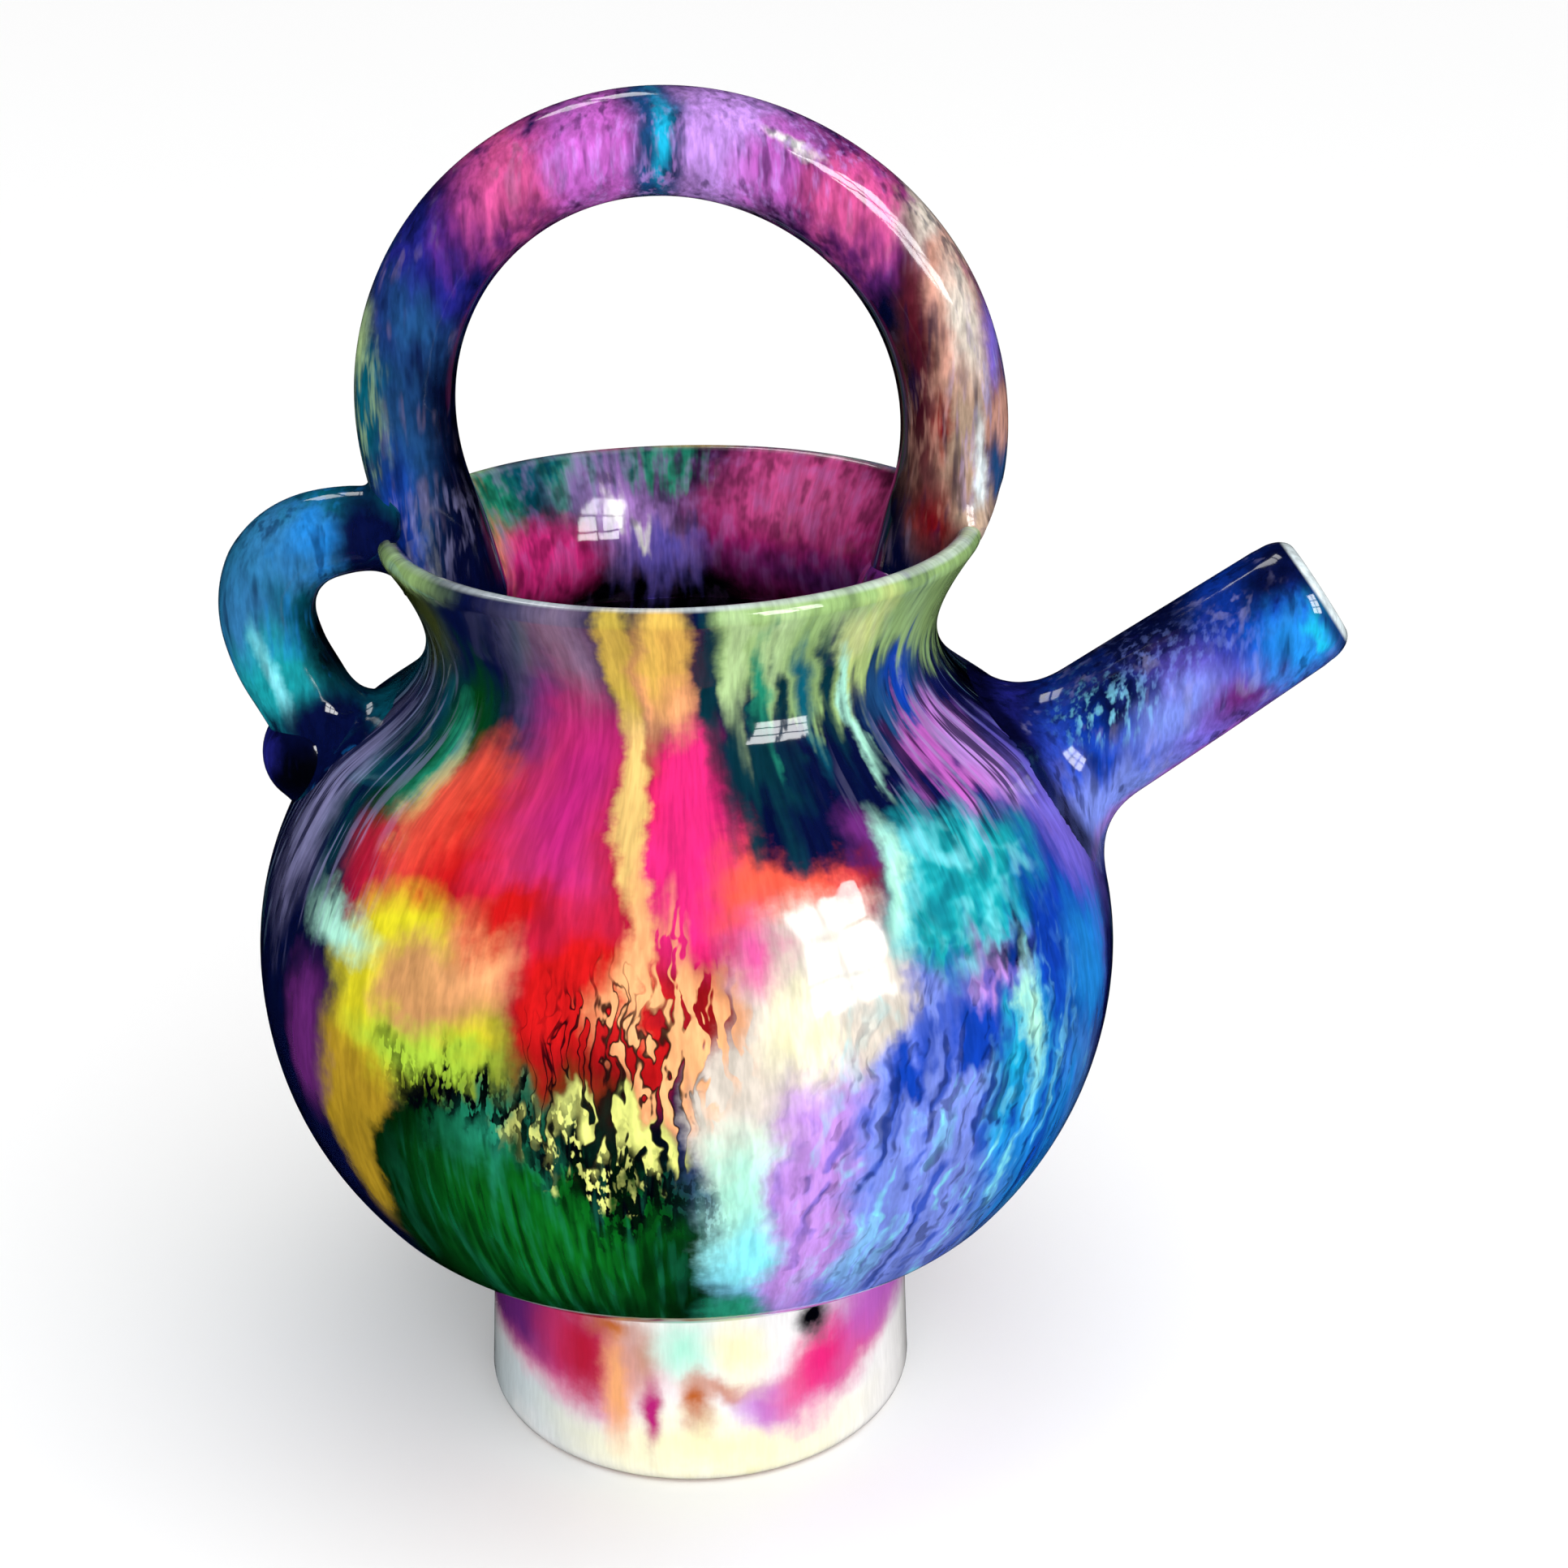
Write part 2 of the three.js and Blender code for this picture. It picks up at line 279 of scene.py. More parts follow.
def by_hand(points):
    """The small wander of a hand-made pot, the same for every piece, and none at the base."""
    at = points / HAND_SPAN
    grip = np.clip(points[:, 2] / HAND_STEADY_BELOW, 0, 1)
    shift = np.stack([
        sum(much * np.sin(at @ np.array(often) + start) for much, often, start in waves) for waves in HAND_WAVES
    ], -1)
    return points + grip[:, None] * shift


class Brush:
    """Adds nodes to a tree of shader or geometry nodes."""

    def __init__(self, tree):
        self.tree = tree
        self.family = tree.bl_idname.replace("NodeTree", "Node")

    def node(self, kind, inputs=None, **settings):
        """A new node, with its inputs joined to sockets or set to values."""
        node = self.tree.nodes.new(self.family + kind)
        for key, value in settings.items():
            setattr(node, key, value)
        for key, value in (inputs or {}).items():
            if isinstance(value, bpy.types.NodeSocket):
                self.tree.links.new(value, node.inputs[key])
            else:
                node.inputs[key].default_value = value
        return node

    def use(self, tree, inputs):
        """Puts in a node group."""
        return self.node("Group", inputs, node_tree=tree)

    def sum(self, operation, *values):
        """Arithmetic on single values."""
        return self.node("Math", dict(enumerate(values)), operation=operation).outputs[0]

    def vector(self, operation, *values):
        """Arithmetic on vectors."""
        return self.node("VectorMath", dict(enumerate(values)), operation=operation).outputs["Vector"]

    def scaled(self, vector, factor):
        return self.node("VectorMath", {"Vector": vector, "Scale": factor}, operation="SCALE").outputs["Vector"]

    def parts(self, vector):
        """A vector's three numbers."""
        return self.node("SeparateXYZ", {0: vector}).outputs

    def joined(self, *numbers):
        """Three numbers as a vector."""
        return self.node("CombineXYZ", dict(enumerate(numbers))).outputs[0]

    def ramp(self, value, low, high, to_low=0.0, to_high=1.0):
        """A smooth step between two values."""
        inputs = {"Value": value, "From Min": low, "From Max": high, "To Min": to_low, "To Max": to_high}
        return self.node("MapRange", inputs, interpolation_type="SMOOTHSTEP").outputs["Result"]

    def over(self, below, above, share, blend="MIX"):
        """Lays one colour over another."""
        return self.node("Mix", {0: share, 6: below, 7: above}, data_type="RGBA", blend_type=blend).outputs[2]

    def lay(self, below, name, *shares):
        """Lays a palette colour over another, as much as all the shares together allow."""
        share = shares[0]
        for other in shares[1:]:
            share = self.sum("MULTIPLY", share, other)
        return self.over(below, colour(name), share)

    def noise(self, vector, scale, detail=2.0, roughness=0.5, output="Fac"):
        inputs = {"Vector": vector, "Scale": scale, "Detail": detail, "Roughness": roughness}
        return self.node("TexNoise", inputs).outputs[output]

    def sway(self, vector, scale, detail=2.0, roughness=0.5):
        """Noise that goes either way along each axis."""
        return self.vector("SUBTRACT", self.noise(vector, scale, detail, roughness, "Color"), (0.5, 0.5, 0.5))

    def mark(self, name):
        """A value that the mesh carries."""
        return self.node("Attribute", attribute_name=name).outputs["Fac"]

    def give(self, made, outputs):
        """Joins up a group's outputs, and gives the group."""
        for title, value in outputs.items():
            self.tree.links.new(value, made.inputs[title])
        return self.tree


def group_of(name, inputs, outputs, kind="ShaderNodeTree"):
    """A new node group. Gives its brush, its inputs and its output node."""
    tree = bpy.data.node_groups.new(name, kind)
    for way, sockets in (("INPUT", inputs), ("OUTPUT", outputs)):
        for title, socket in sockets:
            tree.interface.new_socket(title, in_out=way, socket_type="NodeSocket" + socket)
    return Brush(tree), tree.nodes.new("NodeGroupInput").outputs, tree.nodes.new("NodeGroupOutput")


def clay_tree(name, inputs):
    """A geometry node group that makes a glazed surface from a curve."""
    surface = ("Geometry", "Geometry")
    b, given, made = group_of(name, [surface, *inputs, ("Glaze", "Material")], [surface], "GeometryNodeTree")
    b.tree.is_modifier = True
    return b, given, made


def finish_tree(b, given, made, surface):
    """Ends a tree: smooth shading, real geometry and the glaze."""
    smooth = b.node("SetShadeSmooth", {"Geometry": surface})
    real = b.node("RealizeInstances", {"Geometry": smooth.outputs["Geometry"]})
    coat = b.node("SetMaterial", {"Geometry": real.outputs["Geometry"], "Material": given["Glaze"]})
    return b.give(made, {"Geometry": coat.outputs["Geometry"]})


def thrown_clay_tree():
    """Turns an outline about the Z axis, as a wheel does. The outline is a curve with radius in X and depth in Y."""
    b, given, made = clay_tree("thrown clay", [("Turns", "Int"), ("Axle", "Float")])
    wheel = b.node("CurvePrimitiveCircle", {"Resolution": given["Turns"], "Radius": given["Axle"]})
    sweep = b.node("CurveToMesh", {"Curve": wheel.outputs["Curve"], "Profile Curve": given["Geometry"]})
    weld = b.node("MergeByDistance", {"Geometry": sweep.outputs["Mesh"], "Distance": WELD_M})
    return finish_tree(b, given, made, weld.outputs["Geometry"])


def rolled_coil_tree():
    """Rolls a round coil of clay along a curve, as thick as the curve's own radius."""
    b, given, made = clay_tree("rolled coil", [("Sides", "Int")])
    section = b.node("CurvePrimitiveCircle", {"Resolution": given["Sides"], "Radius": 1.0}).outputs["Curve"]
    radius = b.node("InputRadius").outputs["Radius"]
    inputs = {"Curve": given["Geometry"], "Profile Curve": section, "Scale": radius, "Fill Caps": True}
    return finish_tree(b, given, made, b.node("CurveToMesh", inputs).outputs["Mesh"])


def line_object(name, points_m, radii_m=None, closed=False):
    """A curve object with one straight-edged line through the points."""
    line = bpy.data.curves.new(name, "CURVE")
    line.dimensions = "3D"
    spline = line.splines.new("POLY")
    spline.points.add(len(points_m) - 1)
    for i, (point, at) in enumerate(zip(spline.points, points_m)):
        point.co = (*at, 1.0)
        if radii_m is not None:
            point.radius = radii_m[i]
    spline.use_cyclic_u = closed
    obj = bpy.data.objects.new(name, line)
    bpy.context.scene.collection.objects.link(obj)
    return obj


def mesh_from(obj, tree, values):
    """Runs a node tree on an object once, and gives the plain mesh it makes."""
    modifier = obj.modifiers.new(tree.name, "NODES")
    modifier.node_group = tree
    for item in tree.interface.items_tree:
        if item.in_out == "INPUT" and item.name in values:
            modifier[item.identifier] = values[item.name]
    depsgraph = bpy.context.evaluated_depsgraph_get()
    mesh = bpy.data.meshes.new_from_object(obj.evaluated_get(depsgraph), depsgraph=depsgraph)
    obj.modifiers.remove(modifier)
    bpy.data.objects.remove(obj)
    return mesh


def points_of(mesh):
    """A mesh's points in millimetres."""
    flat = np.empty(len(mesh.vertices) * 3)
    mesh.vertices.foreach_get("co", flat)
    return flat.reshape(-1, 3) / MM


def set_points(mesh, points):
    mesh.vertices.foreach_set("co", (points * MM).ravel())
    mesh.update()


def face_outwards(mesh):
    """Turns a closed mesh right side out."""
    mesh.calc_loop_triangles()
    corners = np.empty(len(mesh.loop_triangles) * 3, int)
    mesh.loop_triangles.foreach_get("vertices", corners)
    a, b, c = points_of(mesh)[corners.reshape(-1, 3)].transpose(1, 0, 2)
    if np.einsum("ij,ij->", a, np.cross(b, c)) < 0:
        mesh.flip_normals()


def add_piece(name, node, mesh, glaze):
    """Puts a finished mesh into the scene as the piece that stands for a CAD node."""
    set_points(mesh, by_hand(points_of(mesh)))
    face_outwards(mesh)
    mesh.shade_smooth()
    mesh.set_sharp_from_angle(angle=math.radians(CREASE))
    mesh.materials.clear()
    mesh.materials.append(glaze)
    mesh.name = name
    piece = bpy.data.objects.new(name, mesh)
    bpy.context.scene.collection.objects.link(piece)
    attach(piece, "root")
    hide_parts(node)


def grid_mesh(name, rings, closed_ends=True):
    """A mesh through rings of points. Its ends are closed by fans, or else the last ring joins the first."""
    count, sides = rings.shape[:2]
    points = rings.reshape(-1, 3)
    final = (count - 1) * sides
    pairs = [(k, (k + 1) % sides) for k in range(sides)]
    faces = [(i + k, i + j, i + sides + j, i + sides + k) for i in range(0, final, sides) for k, j in pairs]
    if closed_ends:
        first, last = len(points), len(points) + 1
        points = np.vstack([points, rings[0].mean(0), rings[-1].mean(0)])
        for k, j in pairs:
            faces += [(first, j, k), (last, final + k, final + j)]
    else:
        faces += [(final + k, final + j, j, k) for k, j in pairs]
    mesh = bpy.data.meshes.new(name)
    mesh.from_pydata([tuple(p * MM) for p in points], [], faces)
    return mesh


def thrown(name, profile, glaze, closed):
    """A thrown piece from its outline of radius and height."""
    points_m = [(r * MM - AXLE_M, -z * MM, 0.0) for r, z in profile]
    line = line_object(name, points_m, closed=closed)
    return mesh_from(line, WHEEL, {"Turns": TURNS, "Axle": AXLE_M, "Glaze": glaze})


def mark_inside(mesh):
    """Marks the points on the inside of a thrown wall, for the glaze."""
    points = points_of(mesh)
    outside = np.interp(points[:, 2], OUTLINE[:, 1], OUTLINE[:, 0])
    depth = outside - np.hypot(points[:, 0], points[:, 1])
    above_base = np.clip((points[:, 2] - FOOT_FLOOR / 2) / (FOOT_FLOOR / 4), 0, 1)
    mark = mesh.attributes.new("inside", "FLOAT", "POINT")
    mark.data.foreach_set("value", np.clip(depth / INSIDE_FROM - 1, 0, 1) * above_base)


def foot_profile():
    inside = FOOT_TOP_RADIUS - WALL
    top = FOOT_SEAM_Z + FOOT_SUNK
    fillet_centre = (FOOT_TOP_RADIUS + FOOT_FILLET, FOOT_SEAM_Z - FOOT_FILLET + FOOT_FILLET_SUNK)
    edge_centre = (FOOT_BASE_RADIUS - FOOT_EDGE_ROUND, FOOT_EDGE_ROUND)
    floor_centre = (inside - FOOT_INNER_ROUND, FOOT_FLOOR + FOOT_INNER_ROUND)
    fillet = arc(fillet_centre, FOOT_FILLET, FOOT_FILLET, 180, 110, FOOT_FILLET_STEPS)
    side = bend([(FOOT_BASE_RADIUS, FOOT_EDGE_ROUND), (FOOT_TOP_RADIUS, FOOT_BEND_Z), fillet[0]], FOOT_SIDE_STEPS)
    return np.vstack([
        [(radius, 0) for radius in FOOT_BASE_RINGS],
        arc(edge_centre, FOOT_EDGE_ROUND, FOOT_EDGE_ROUND, -90, 0, FOOT_ROUND_STEPS),
        side[1:],
        fillet[1:],
        [(FOOT_TOP_RADIUS + 1, top), (inside + 2, top), (inside, FOOT_SEAM_Z)],
        arc(floor_centre, FOOT_INNER_ROUND, FOOT_INNER_ROUND, 0, -90, FOOT_ROUND_STEPS),
        [(radius, FOOT_FLOOR) for radius in FOOT_FLOOR_RINGS],
    ])


def belly_profile():
    inside = FOOT_TOP_RADIUS - WALL
    floor = FOOT_SEAM_Z + WALL
    outer = stretch(OUTLINE, FOOT_SEAM_Z, NECK_SEAM_Z)
    inner = stretch(OUTLINE_INSIDE, floor + BELLY_INNER_BEVEL, NECK_SEAM_Z)[::-2]
    return np.vstack([outer, inner, [(inside, floor), (inside, FOOT_SEAM_Z + BELLY_SEAM_GAP)]])


def neck_profile():
    outer = stretch(OUTLINE, NECK_SEAM_Z, OUTLINE[-1, 1])
    inner = stretch(NECK_INSIDE, NECK_SEAM_Z - NECK_SUNK, OUTLINE[-1, 1])[::-1]
    tuck = [(outer[0, 0] - NECK_TUCK[0], NECK_SEAM_Z - NECK_TUCK[1])]
    return np.vstack([tuck, outer[:-1], lip_arc(), inner])


def hoop_line():
    """The hoop's middle line from its right end over the top to its left end."""
    lean = math.radians(HOOP_LEAN)
    turn = np.radians(np.linspace(HOOP_FROM, HOOP_TO, HOOP_STEPS + 1))
    along = HOOP_LONG_RADIUS * np.cos(turn - lean)
    across = HOOP_SHORT_RADIUS * np.sin(turn - lean)
    ring = np.stack([
        HOOP_CENTRE[0] + along * math.cos(lean) - across * math.sin(lean),
        HOOP_CENTRE[1] + along * math.sin(lean) + across * math.cos(lean),
    ], -1)
    legs = []
    for end, start, after in ((HOOP_RIGHT_END, ring[0], ring[1]), (HOOP_LEFT_END, ring[-1], ring[-2])):
        way = (start - after) / np.linalg.norm(start - after)
        legs.append(bend([start, start + HOOP_LEG_RUN * way, np.array(end)], HOOP_LEG_STEPS))
    return np.vstack([legs[0][:0:-1], ring, legs[1][1:]])


def run_length(line):
    """How far along a line each of its points is."""
    return np.concatenate([[0], np.cumsum(np.linalg.norm(np.diff(line, axis=0), axis=1))])


def directions(line):
    """Which way a line runs at each of its points."""
    way = np.gradient(line, axis=0)
    return way / np.linalg.norm(way, axis=1, keepdims=True)


def in_space(line):
    """A line of places across and up, as points in the XZ plane."""
    return np.stack([line[:, 0], np.zeros(len(line)), line[:, 1]], -1)


def smooth_line(points, steps):
    """A smooth line through the points, evenly stepped."""
    points = np.array(points, float)
    ends = np.vstack([2 * points[0] - points[1], points, 2 * points[-1] - points[-2]])
    t = np.linspace(0, 1, LINE_STEPS, endpoint=False)[:, None]
    runs = []
    for a, b, c, d in zip(ends, ends[1:], ends[2:], ends[3:]):
        runs.append(0.5 * (2 * b + (c - a) * t + (2 * a - 5 * b + 4 * c - d) * t ** 2
                           + (3 * b - a - 3 * c + d) * t ** 3))
    line = np.vstack(runs + [points[-1:]])
    gone = run_length(line)
    even = np.linspace(0, gone[-1], steps + 1)
    return np.stack([np.interp(even, gone, line[:, k]) for k in range(2)], -1)


def line_distance(points, line, radius):
    """How far points are from a coil along a line in the XZ plane."""
    return np.linalg.norm(points[:, None] - in_space(line)[None], axis=-1).min(1) - radius


def neck_or_hoop_distance(points):
    """How far points are from the neck or the hoop, whichever is nearer."""
    return np.minimum(filled_distance(points), line_distance(points, hoop_line()[::2], HOOP_COIL - HOOP_TOUCH))


def coil_mesh(name, line, radii, glaze):
    """A coil of clay rolled along a line in the XZ plane."""
    obj = line_object(name, in_space(line) * MM, radii_m=radii * MM)
    return mesh_from(obj, ROLLER, {"Sides": COIL_SIDES, "Glaze": glaze})


def coil_rings(mesh, line):
    """A rolled coil's points as rings, and the ways out from its middle line."""
    rings = points_of(mesh)[:len(line) * COIL_SIDES].reshape(len(line), COIL_SIDES, 3)
    out = rings - in_space(line)[:, None]
    return rings, out / np.linalg.norm(out, axis=-1, keepdims=True)


def set_rings(mesh, rings):
    points = points_of(mesh)
    points[:rings.shape[0] * rings.shape[1]] = rings.reshape(-1, 3)
    set_points(mesh, points)


def held_within(points, radius):
    """Points pulled in towards the Z axis to no more than a radius each."""
    out = np.hypot(points[:, 0], points[:, 1])
    within = points.copy()
    within[:, :2] *= np.minimum(1, radius / np.maximum(out, TINY))[:, None]
    return within


def thumb_coil(mesh, line):
    """Thickens the hoop where it meets the wall, and keeps it off the outside of the neck."""
    rings, ways = coil_rings(mesh, line)
    flat = flared(rings.reshape(-1, 3), ways.reshape(-1, 3), HOOP_FLARE, HOOP_FLARE_WIDTH, wall_distance)
    most = np.interp(flat[:, 2], HOOP_SMEAR_Z, HOOP_SMEAR_RADIUS)
    low = flat[:, 2] < HOOP_SMEAR_Z[-1]
    flat[low] = held_within(flat[low], most[low])
    set_rings(mesh, flat.reshape(rings.shape))


def hold_in_neck(mesh):
    """Pulls a wad's points back to just short of the outside of the neck's wall."""
    points = points_of(mesh)
    outside = np.interp(points[:, 2], OUTLINE[:, 1], OUTLINE[:, 0])
    set_points(mesh, held_within(points, outside - WAD_SHORT_OF_OUTSIDE))


def root_rows(line, radii, around, reach, distance):
    """Rows of a round fillet from a coil's skin, at its last end, to what the coil runs into.

    Each row is as near the coil as the fillet's other side is far from the neighbour."""
    steps = np.arange(len(line) // 2, len(line))
    way = directions(line)
    found = []
    for share in np.linspace(0, 1, ROOT_ROWS):
        grown = reach * share ** 2
        gap = reach * (1 - share) ** 2
        spots = coil_points(line, way, steps[:, None], radii[steps][:, None] + grown[None], around[None])
        depth = distance(spots.reshape(-1, 3)).reshape(spots.shape[:2]) - gap[None]
        hit = depth < 0
        first = np.where(hit.any(0), hit.argmax(0), len(steps) - 1)
        before = np.maximum(first - 1, 0)
        column = np.arange(len(around))
        high, low = depth[before, column], depth[first, column]
        part = np.where(high - low > TINY, np.clip(high / np.maximum(high - low, TINY), 0, 1), 1)
        at = steps[before] + part * (first - before)
        for _ in range(ROOT_SMOOTHINGS):
            at = (np.roll(at, 1) + 2 * at + np.roll(at, -1)) / 4
        found.append((at, np.interp(at, np.arange(len(line)), radii) + grown))
    return found


def coil_points(line, way, at, out, around):
    """Points beside a line in the XZ plane: how far along its steps, how far out, and how far round."""
    at, out, around = np.broadcast_arrays(np.asarray(at, float), out, around)
    index = np.arange(len(line))
    x, z, wx, wz = (np.interp(at, index, v) for v in (line[:, 0], line[:, 1], way[:, 0], way[:, 1]))
    side = out * np.cos(around)
    return np.stack([x + side * wz, out * np.sin(around), z - side * wx], -1)


def press_coil(mesh, line, radii, reach, distance):
    """Re-places a rolled coil's rings so that both its ends spread on to what they run into."""
    ways = coil_rings(mesh, line)[1]
    way = directions(line)
    around = np.arctan2(ways[0, :, 1], ways[0, :, 0] * way[0, 1] - ways[0, :, 2] * way[0, 0])
    hole_side = (1 - np.cos(around)) / 2
    at_start, at_end = [outer + (inner - outer) * hole_side for outer, inner in reach]
    last = len(line) - 1
    end = root_rows(line, radii, around, at_end, distance)
    start = root_rows(line[::-1], radii[::-1], np.pi - around, at_start, distance)
    start = [(last - at, out) for at, out in start]
    step = last / run_length(line)[-1]
    within = np.full(len(around), radii.min() / 2)
    head = [(np.zeros(len(around)), within), (start[-1][0] - step, start[-1][1] - ROOT_EDGE)] + start[::-1]
    tail = end + [(end[-1][0] + step, end[-1][1] - ROOT_EDGE), (np.full(len(around), float(last)), within)]
    between = len(line) - len(head) - len(tail)
    plain = []
    for share in np.linspace(0, 1, between + 2)[1:-1]:
        at = start[0][0] * (1 - share) + end[0][0] * share
        plain.append((at, np.interp(at, np.arange(len(line)), radii)))
    set_rings(mesh, np.stack([coil_points(line, way, at, out, around) for at, out in head + plain + tail]))


def rounded_ends(line, radii, length, thinnest):
    """Closes both ends of a coil to a dome."""
    gone = run_length(line)
    from_start = np.clip(gone / length, 0, 1)
    from_end = np.clip((gone[-1] - gone) / length, 0, 1)
    dome = np.sqrt(1 - (1 - from_start) ** 2) * np.sqrt(1 - (1 - from_end) ** 2)
    return radii * np.maximum(dome, thinnest)


def lump_mesh(name, centre, size, height, width, distance):
    """A pressed lump of clay as rings round the X axis, spread where it comes near its neighbour."""
    along = np.radians(np.linspace(LUMP_POLE, 180 - LUMP_POLE, LUMP_RINGS))[:, None]
    around = np.linspace(0, 2 * math.pi, LUMP_SIDES, endpoint=False)[None]
    out = np.sin(along)
    parts = np.broadcast_arrays(np.cos(along), out * np.cos(around), out * np.sin(around))
    ways = np.stack(parts, -1).reshape(-1, 3)
    points = np.array([centre[0], 0.0, centre[1]]) + ways * np.array(size)
    spread = flared(points, ways, height, width, distance)
    return grid_mesh(name, spread.reshape(LUMP_RINGS, LUMP_SIDES, 3))


SPOUT_WAY = np.array([math.cos(math.radians(SPOUT_SLOPE)), 0.0, math.sin(math.radians(SPOUT_SLOPE))])
SPOUT_UP = np.array([-SPOUT_WAY[2], 0.0, SPOUT_WAY[0]])
SPOUT_SIDE = np.array([0.0, 1.0, 0.0])
SPOUT_START = np.array([SPOUT_ROOT[0], 0.0, SPOUT_ROOT[1]])


def on_spout(along, out, around):
    """Points at a distance along the spout's axis, out from it and round it."""
    along, out, around = np.broadcast_arrays(along, out, around)
    ring = np.cos(around)[..., None] * SPOUT_UP + np.sin(around)[..., None] * SPOUT_SIDE
    return SPOUT_START + along[..., None] * SPOUT_WAY + out[..., None] * ring


def spout_radius(along):
    return np.interp(along, [0, SPOUT_LENGTH], [SPOUT_ROOT_RADIUS, SPOUT_TIP_RADIUS])


def spout_mesh(name):
    """The spout's tube with its rounded lip, outside first and then down the bore."""
    wall = SPOUT_TIP_RADIUS - SPOUT_BORE
    outer_round = wall * SPOUT_LIP_SHARE
    inner_round = wall - outer_round
    outer_centre = (SPOUT_TIP_RADIUS - outer_round, SPOUT_LENGTH - SPOUT_LIP_DROP)
    inner_centre = (SPOUT_BORE + inner_round, SPOUT_LENGTH - inner_round)
    lip = np.vstack([
        arc(outer_centre, outer_round, SPOUT_LIP_DROP, 0, 90, SPOUT_LIP_STEPS[0]),
        arc(inner_centre, inner_round, inner_round, 90, 180, SPOUT_LIP_STEPS[1])[1:],
    ])
    rise = np.linspace(-SPOUT_SUNK, SPOUT_LENGTH - SPOUT_LIP_DROP, SPOUT_STEPS + 1)[:-1]
    outside = np.stack([spout_radius(rise), rise], -1)
    down = np.linspace(lip[-1, 1], -SPOUT_SUNK, BORE_STEPS + 1)[1:]
    inside = np.stack([np.full(BORE_STEPS, SPOUT_BORE), down], -1)
    profile = np.vstack([outside, lip, inside])
    around = np.linspace(0, 2 * math.pi, SPOUT_TURNS, endpoint=False)
    rings = on_spout(profile[:, 1:2], profile[:, 0:1], around[None])
    return grid_mesh(name, rings, closed_ends=False)


def collar_mesh(name):
    """The clay smoothed from the belly up the spout: as near the tube as it is far from the belly, and so round."""
    around = np.linspace(0, 2 * math.pi, SPOUT_TURNS, endpoint=False)
    rings = []
    for share in np.linspace(0, 1, COLLAR_ROWS):
        out = COLLAR_REACH * share ** 2
        gap = COLLAR_REACH * (1 - share) ** 2
        low, high = [np.full(SPOUT_TURNS, end) for end in COLLAR_SEARCH]
        for _ in range(COLLAR_HALVINGS):
            middle = (low + high) / 2
            far = filled_distance(on_spout(middle, spout_radius(middle) + out, around)) > gap
            low, high = np.where(far, low, middle), np.where(far, middle, high)
        rings.append(on_spout(high, spout_radius(high) + out, around))
    under = rings[-1] - COLLAR_HIDDEN * SPOUT_WAY
    sunk = np.full(SPOUT_TURNS, -SPOUT_SUNK)
    within = on_spout(sunk, np.full(SPOUT_TURNS, SPOUT_ROOT_RADIUS - COLLAR_HIDDEN), around)
    along_top = (rings[0] - SPOUT_START) @ SPOUT_WAY
    hidden = on_spout(along_top, spout_radius(along_top) - COLLAR_HIDDEN, around)
    mesh = grid_mesh(name, np.stack(rings + [under, within, hidden]), closed_ends=False)
    shares = np.concatenate([np.linspace(0, 1, COLLAR_ROWS), [1, 1, 0]])
    mark = mesh.attributes.new("edge", "FLOAT", "POINT")
    mark.data.foreach_set("value", np.repeat(shares, SPOUT_TURNS))
    return mesh


# Glaze colours, in the usual screen notation
PALETTE = {
    "ink": "#04050f", "navy": "#0b1542", "indigo": "#2a2c86", "deep blue": "#265282", "royal": "#1747b0",
    "azure": "#2a8cd8", "cyan": "#22aed0", "turquoise": "#24a8b0", "teal": "#0f6478", "dark teal": "#0c3a48",
    "mint": "#b4ecd8", "aqua": "#8ae0ea", "periwinkle": "#7e90dc", "violet": "#7c6ed0", "lavender": "#9a98c4",
    "lilac": "#be92dc", "orchid": "#bf6ac2", "magenta": "#bc2e80", "raspberry": "#c63a6c",
    "hot pink": "#e03080", "rose": "#d6609c", "crimson": "#ba2444", "red": "#c41e20", "dark red": "#8a1018",
    "coral": "#ee6450", "peach": "#eeae7c", "salmon": "#cc9a68", "amber": "#d4b25c", "ochre": "#c4ae52",
    "yellow": "#d8cf30", "lemon": "#e0e488", "lime": "#b0d048", "green": "#106c24", "leaf": "#064a1c",
    "dark green": "#03240c", "jade": "#2c9478", "sage": "#98b67a", "celadon": "#b2ce98", "pear": "#c8d48c",
    "olive": "#485228", "mustard": "#b0922c", "plum": "#70307c", "mauve": "#84748e", "dusk": "#504e6c",
    "maroon": "#5e1e2e", "rust": "#be6a34", "cream": "#cfc6bb", "white": "#f0eeec", "cool grey": "#d2dcdf",
    "clay": "#c8a084", "straw": "#e6c47e", "ivory": "#f0ecc4", "fuchsia": "#f4409c", "lake": "#3a7cac",
    "blush": "#cc9c8c", "rose brown": "#866258", "beige": "#b8a08c",
}
GLAZE_DEPTH = 1.14
SCREEN_GAMMA_KNEE = 0.04045


def colour(name):
    """A palette colour as linear red, green, blue and full cover."""
    code = PALETTE[name]
    parts = [int(code[i:i + 2], 16) / 255 for i in (1, 3, 5)]
    linear = [p / 12.92 if p < SCREEN_GAMMA_KNEE else ((p + 0.055) / 1.055) ** 2.4 for p in parts]
    return (*[p ** GLAZE_DEPTH for p in linear], 1.0)


CHART_MM_PER_DEGREE = 1.48
LANE_RADIUS = 60.0
CHART_OUTPUTS = [("Chart", "Vector"), ("Place", "Vector"), ("Lane", "Vector")]


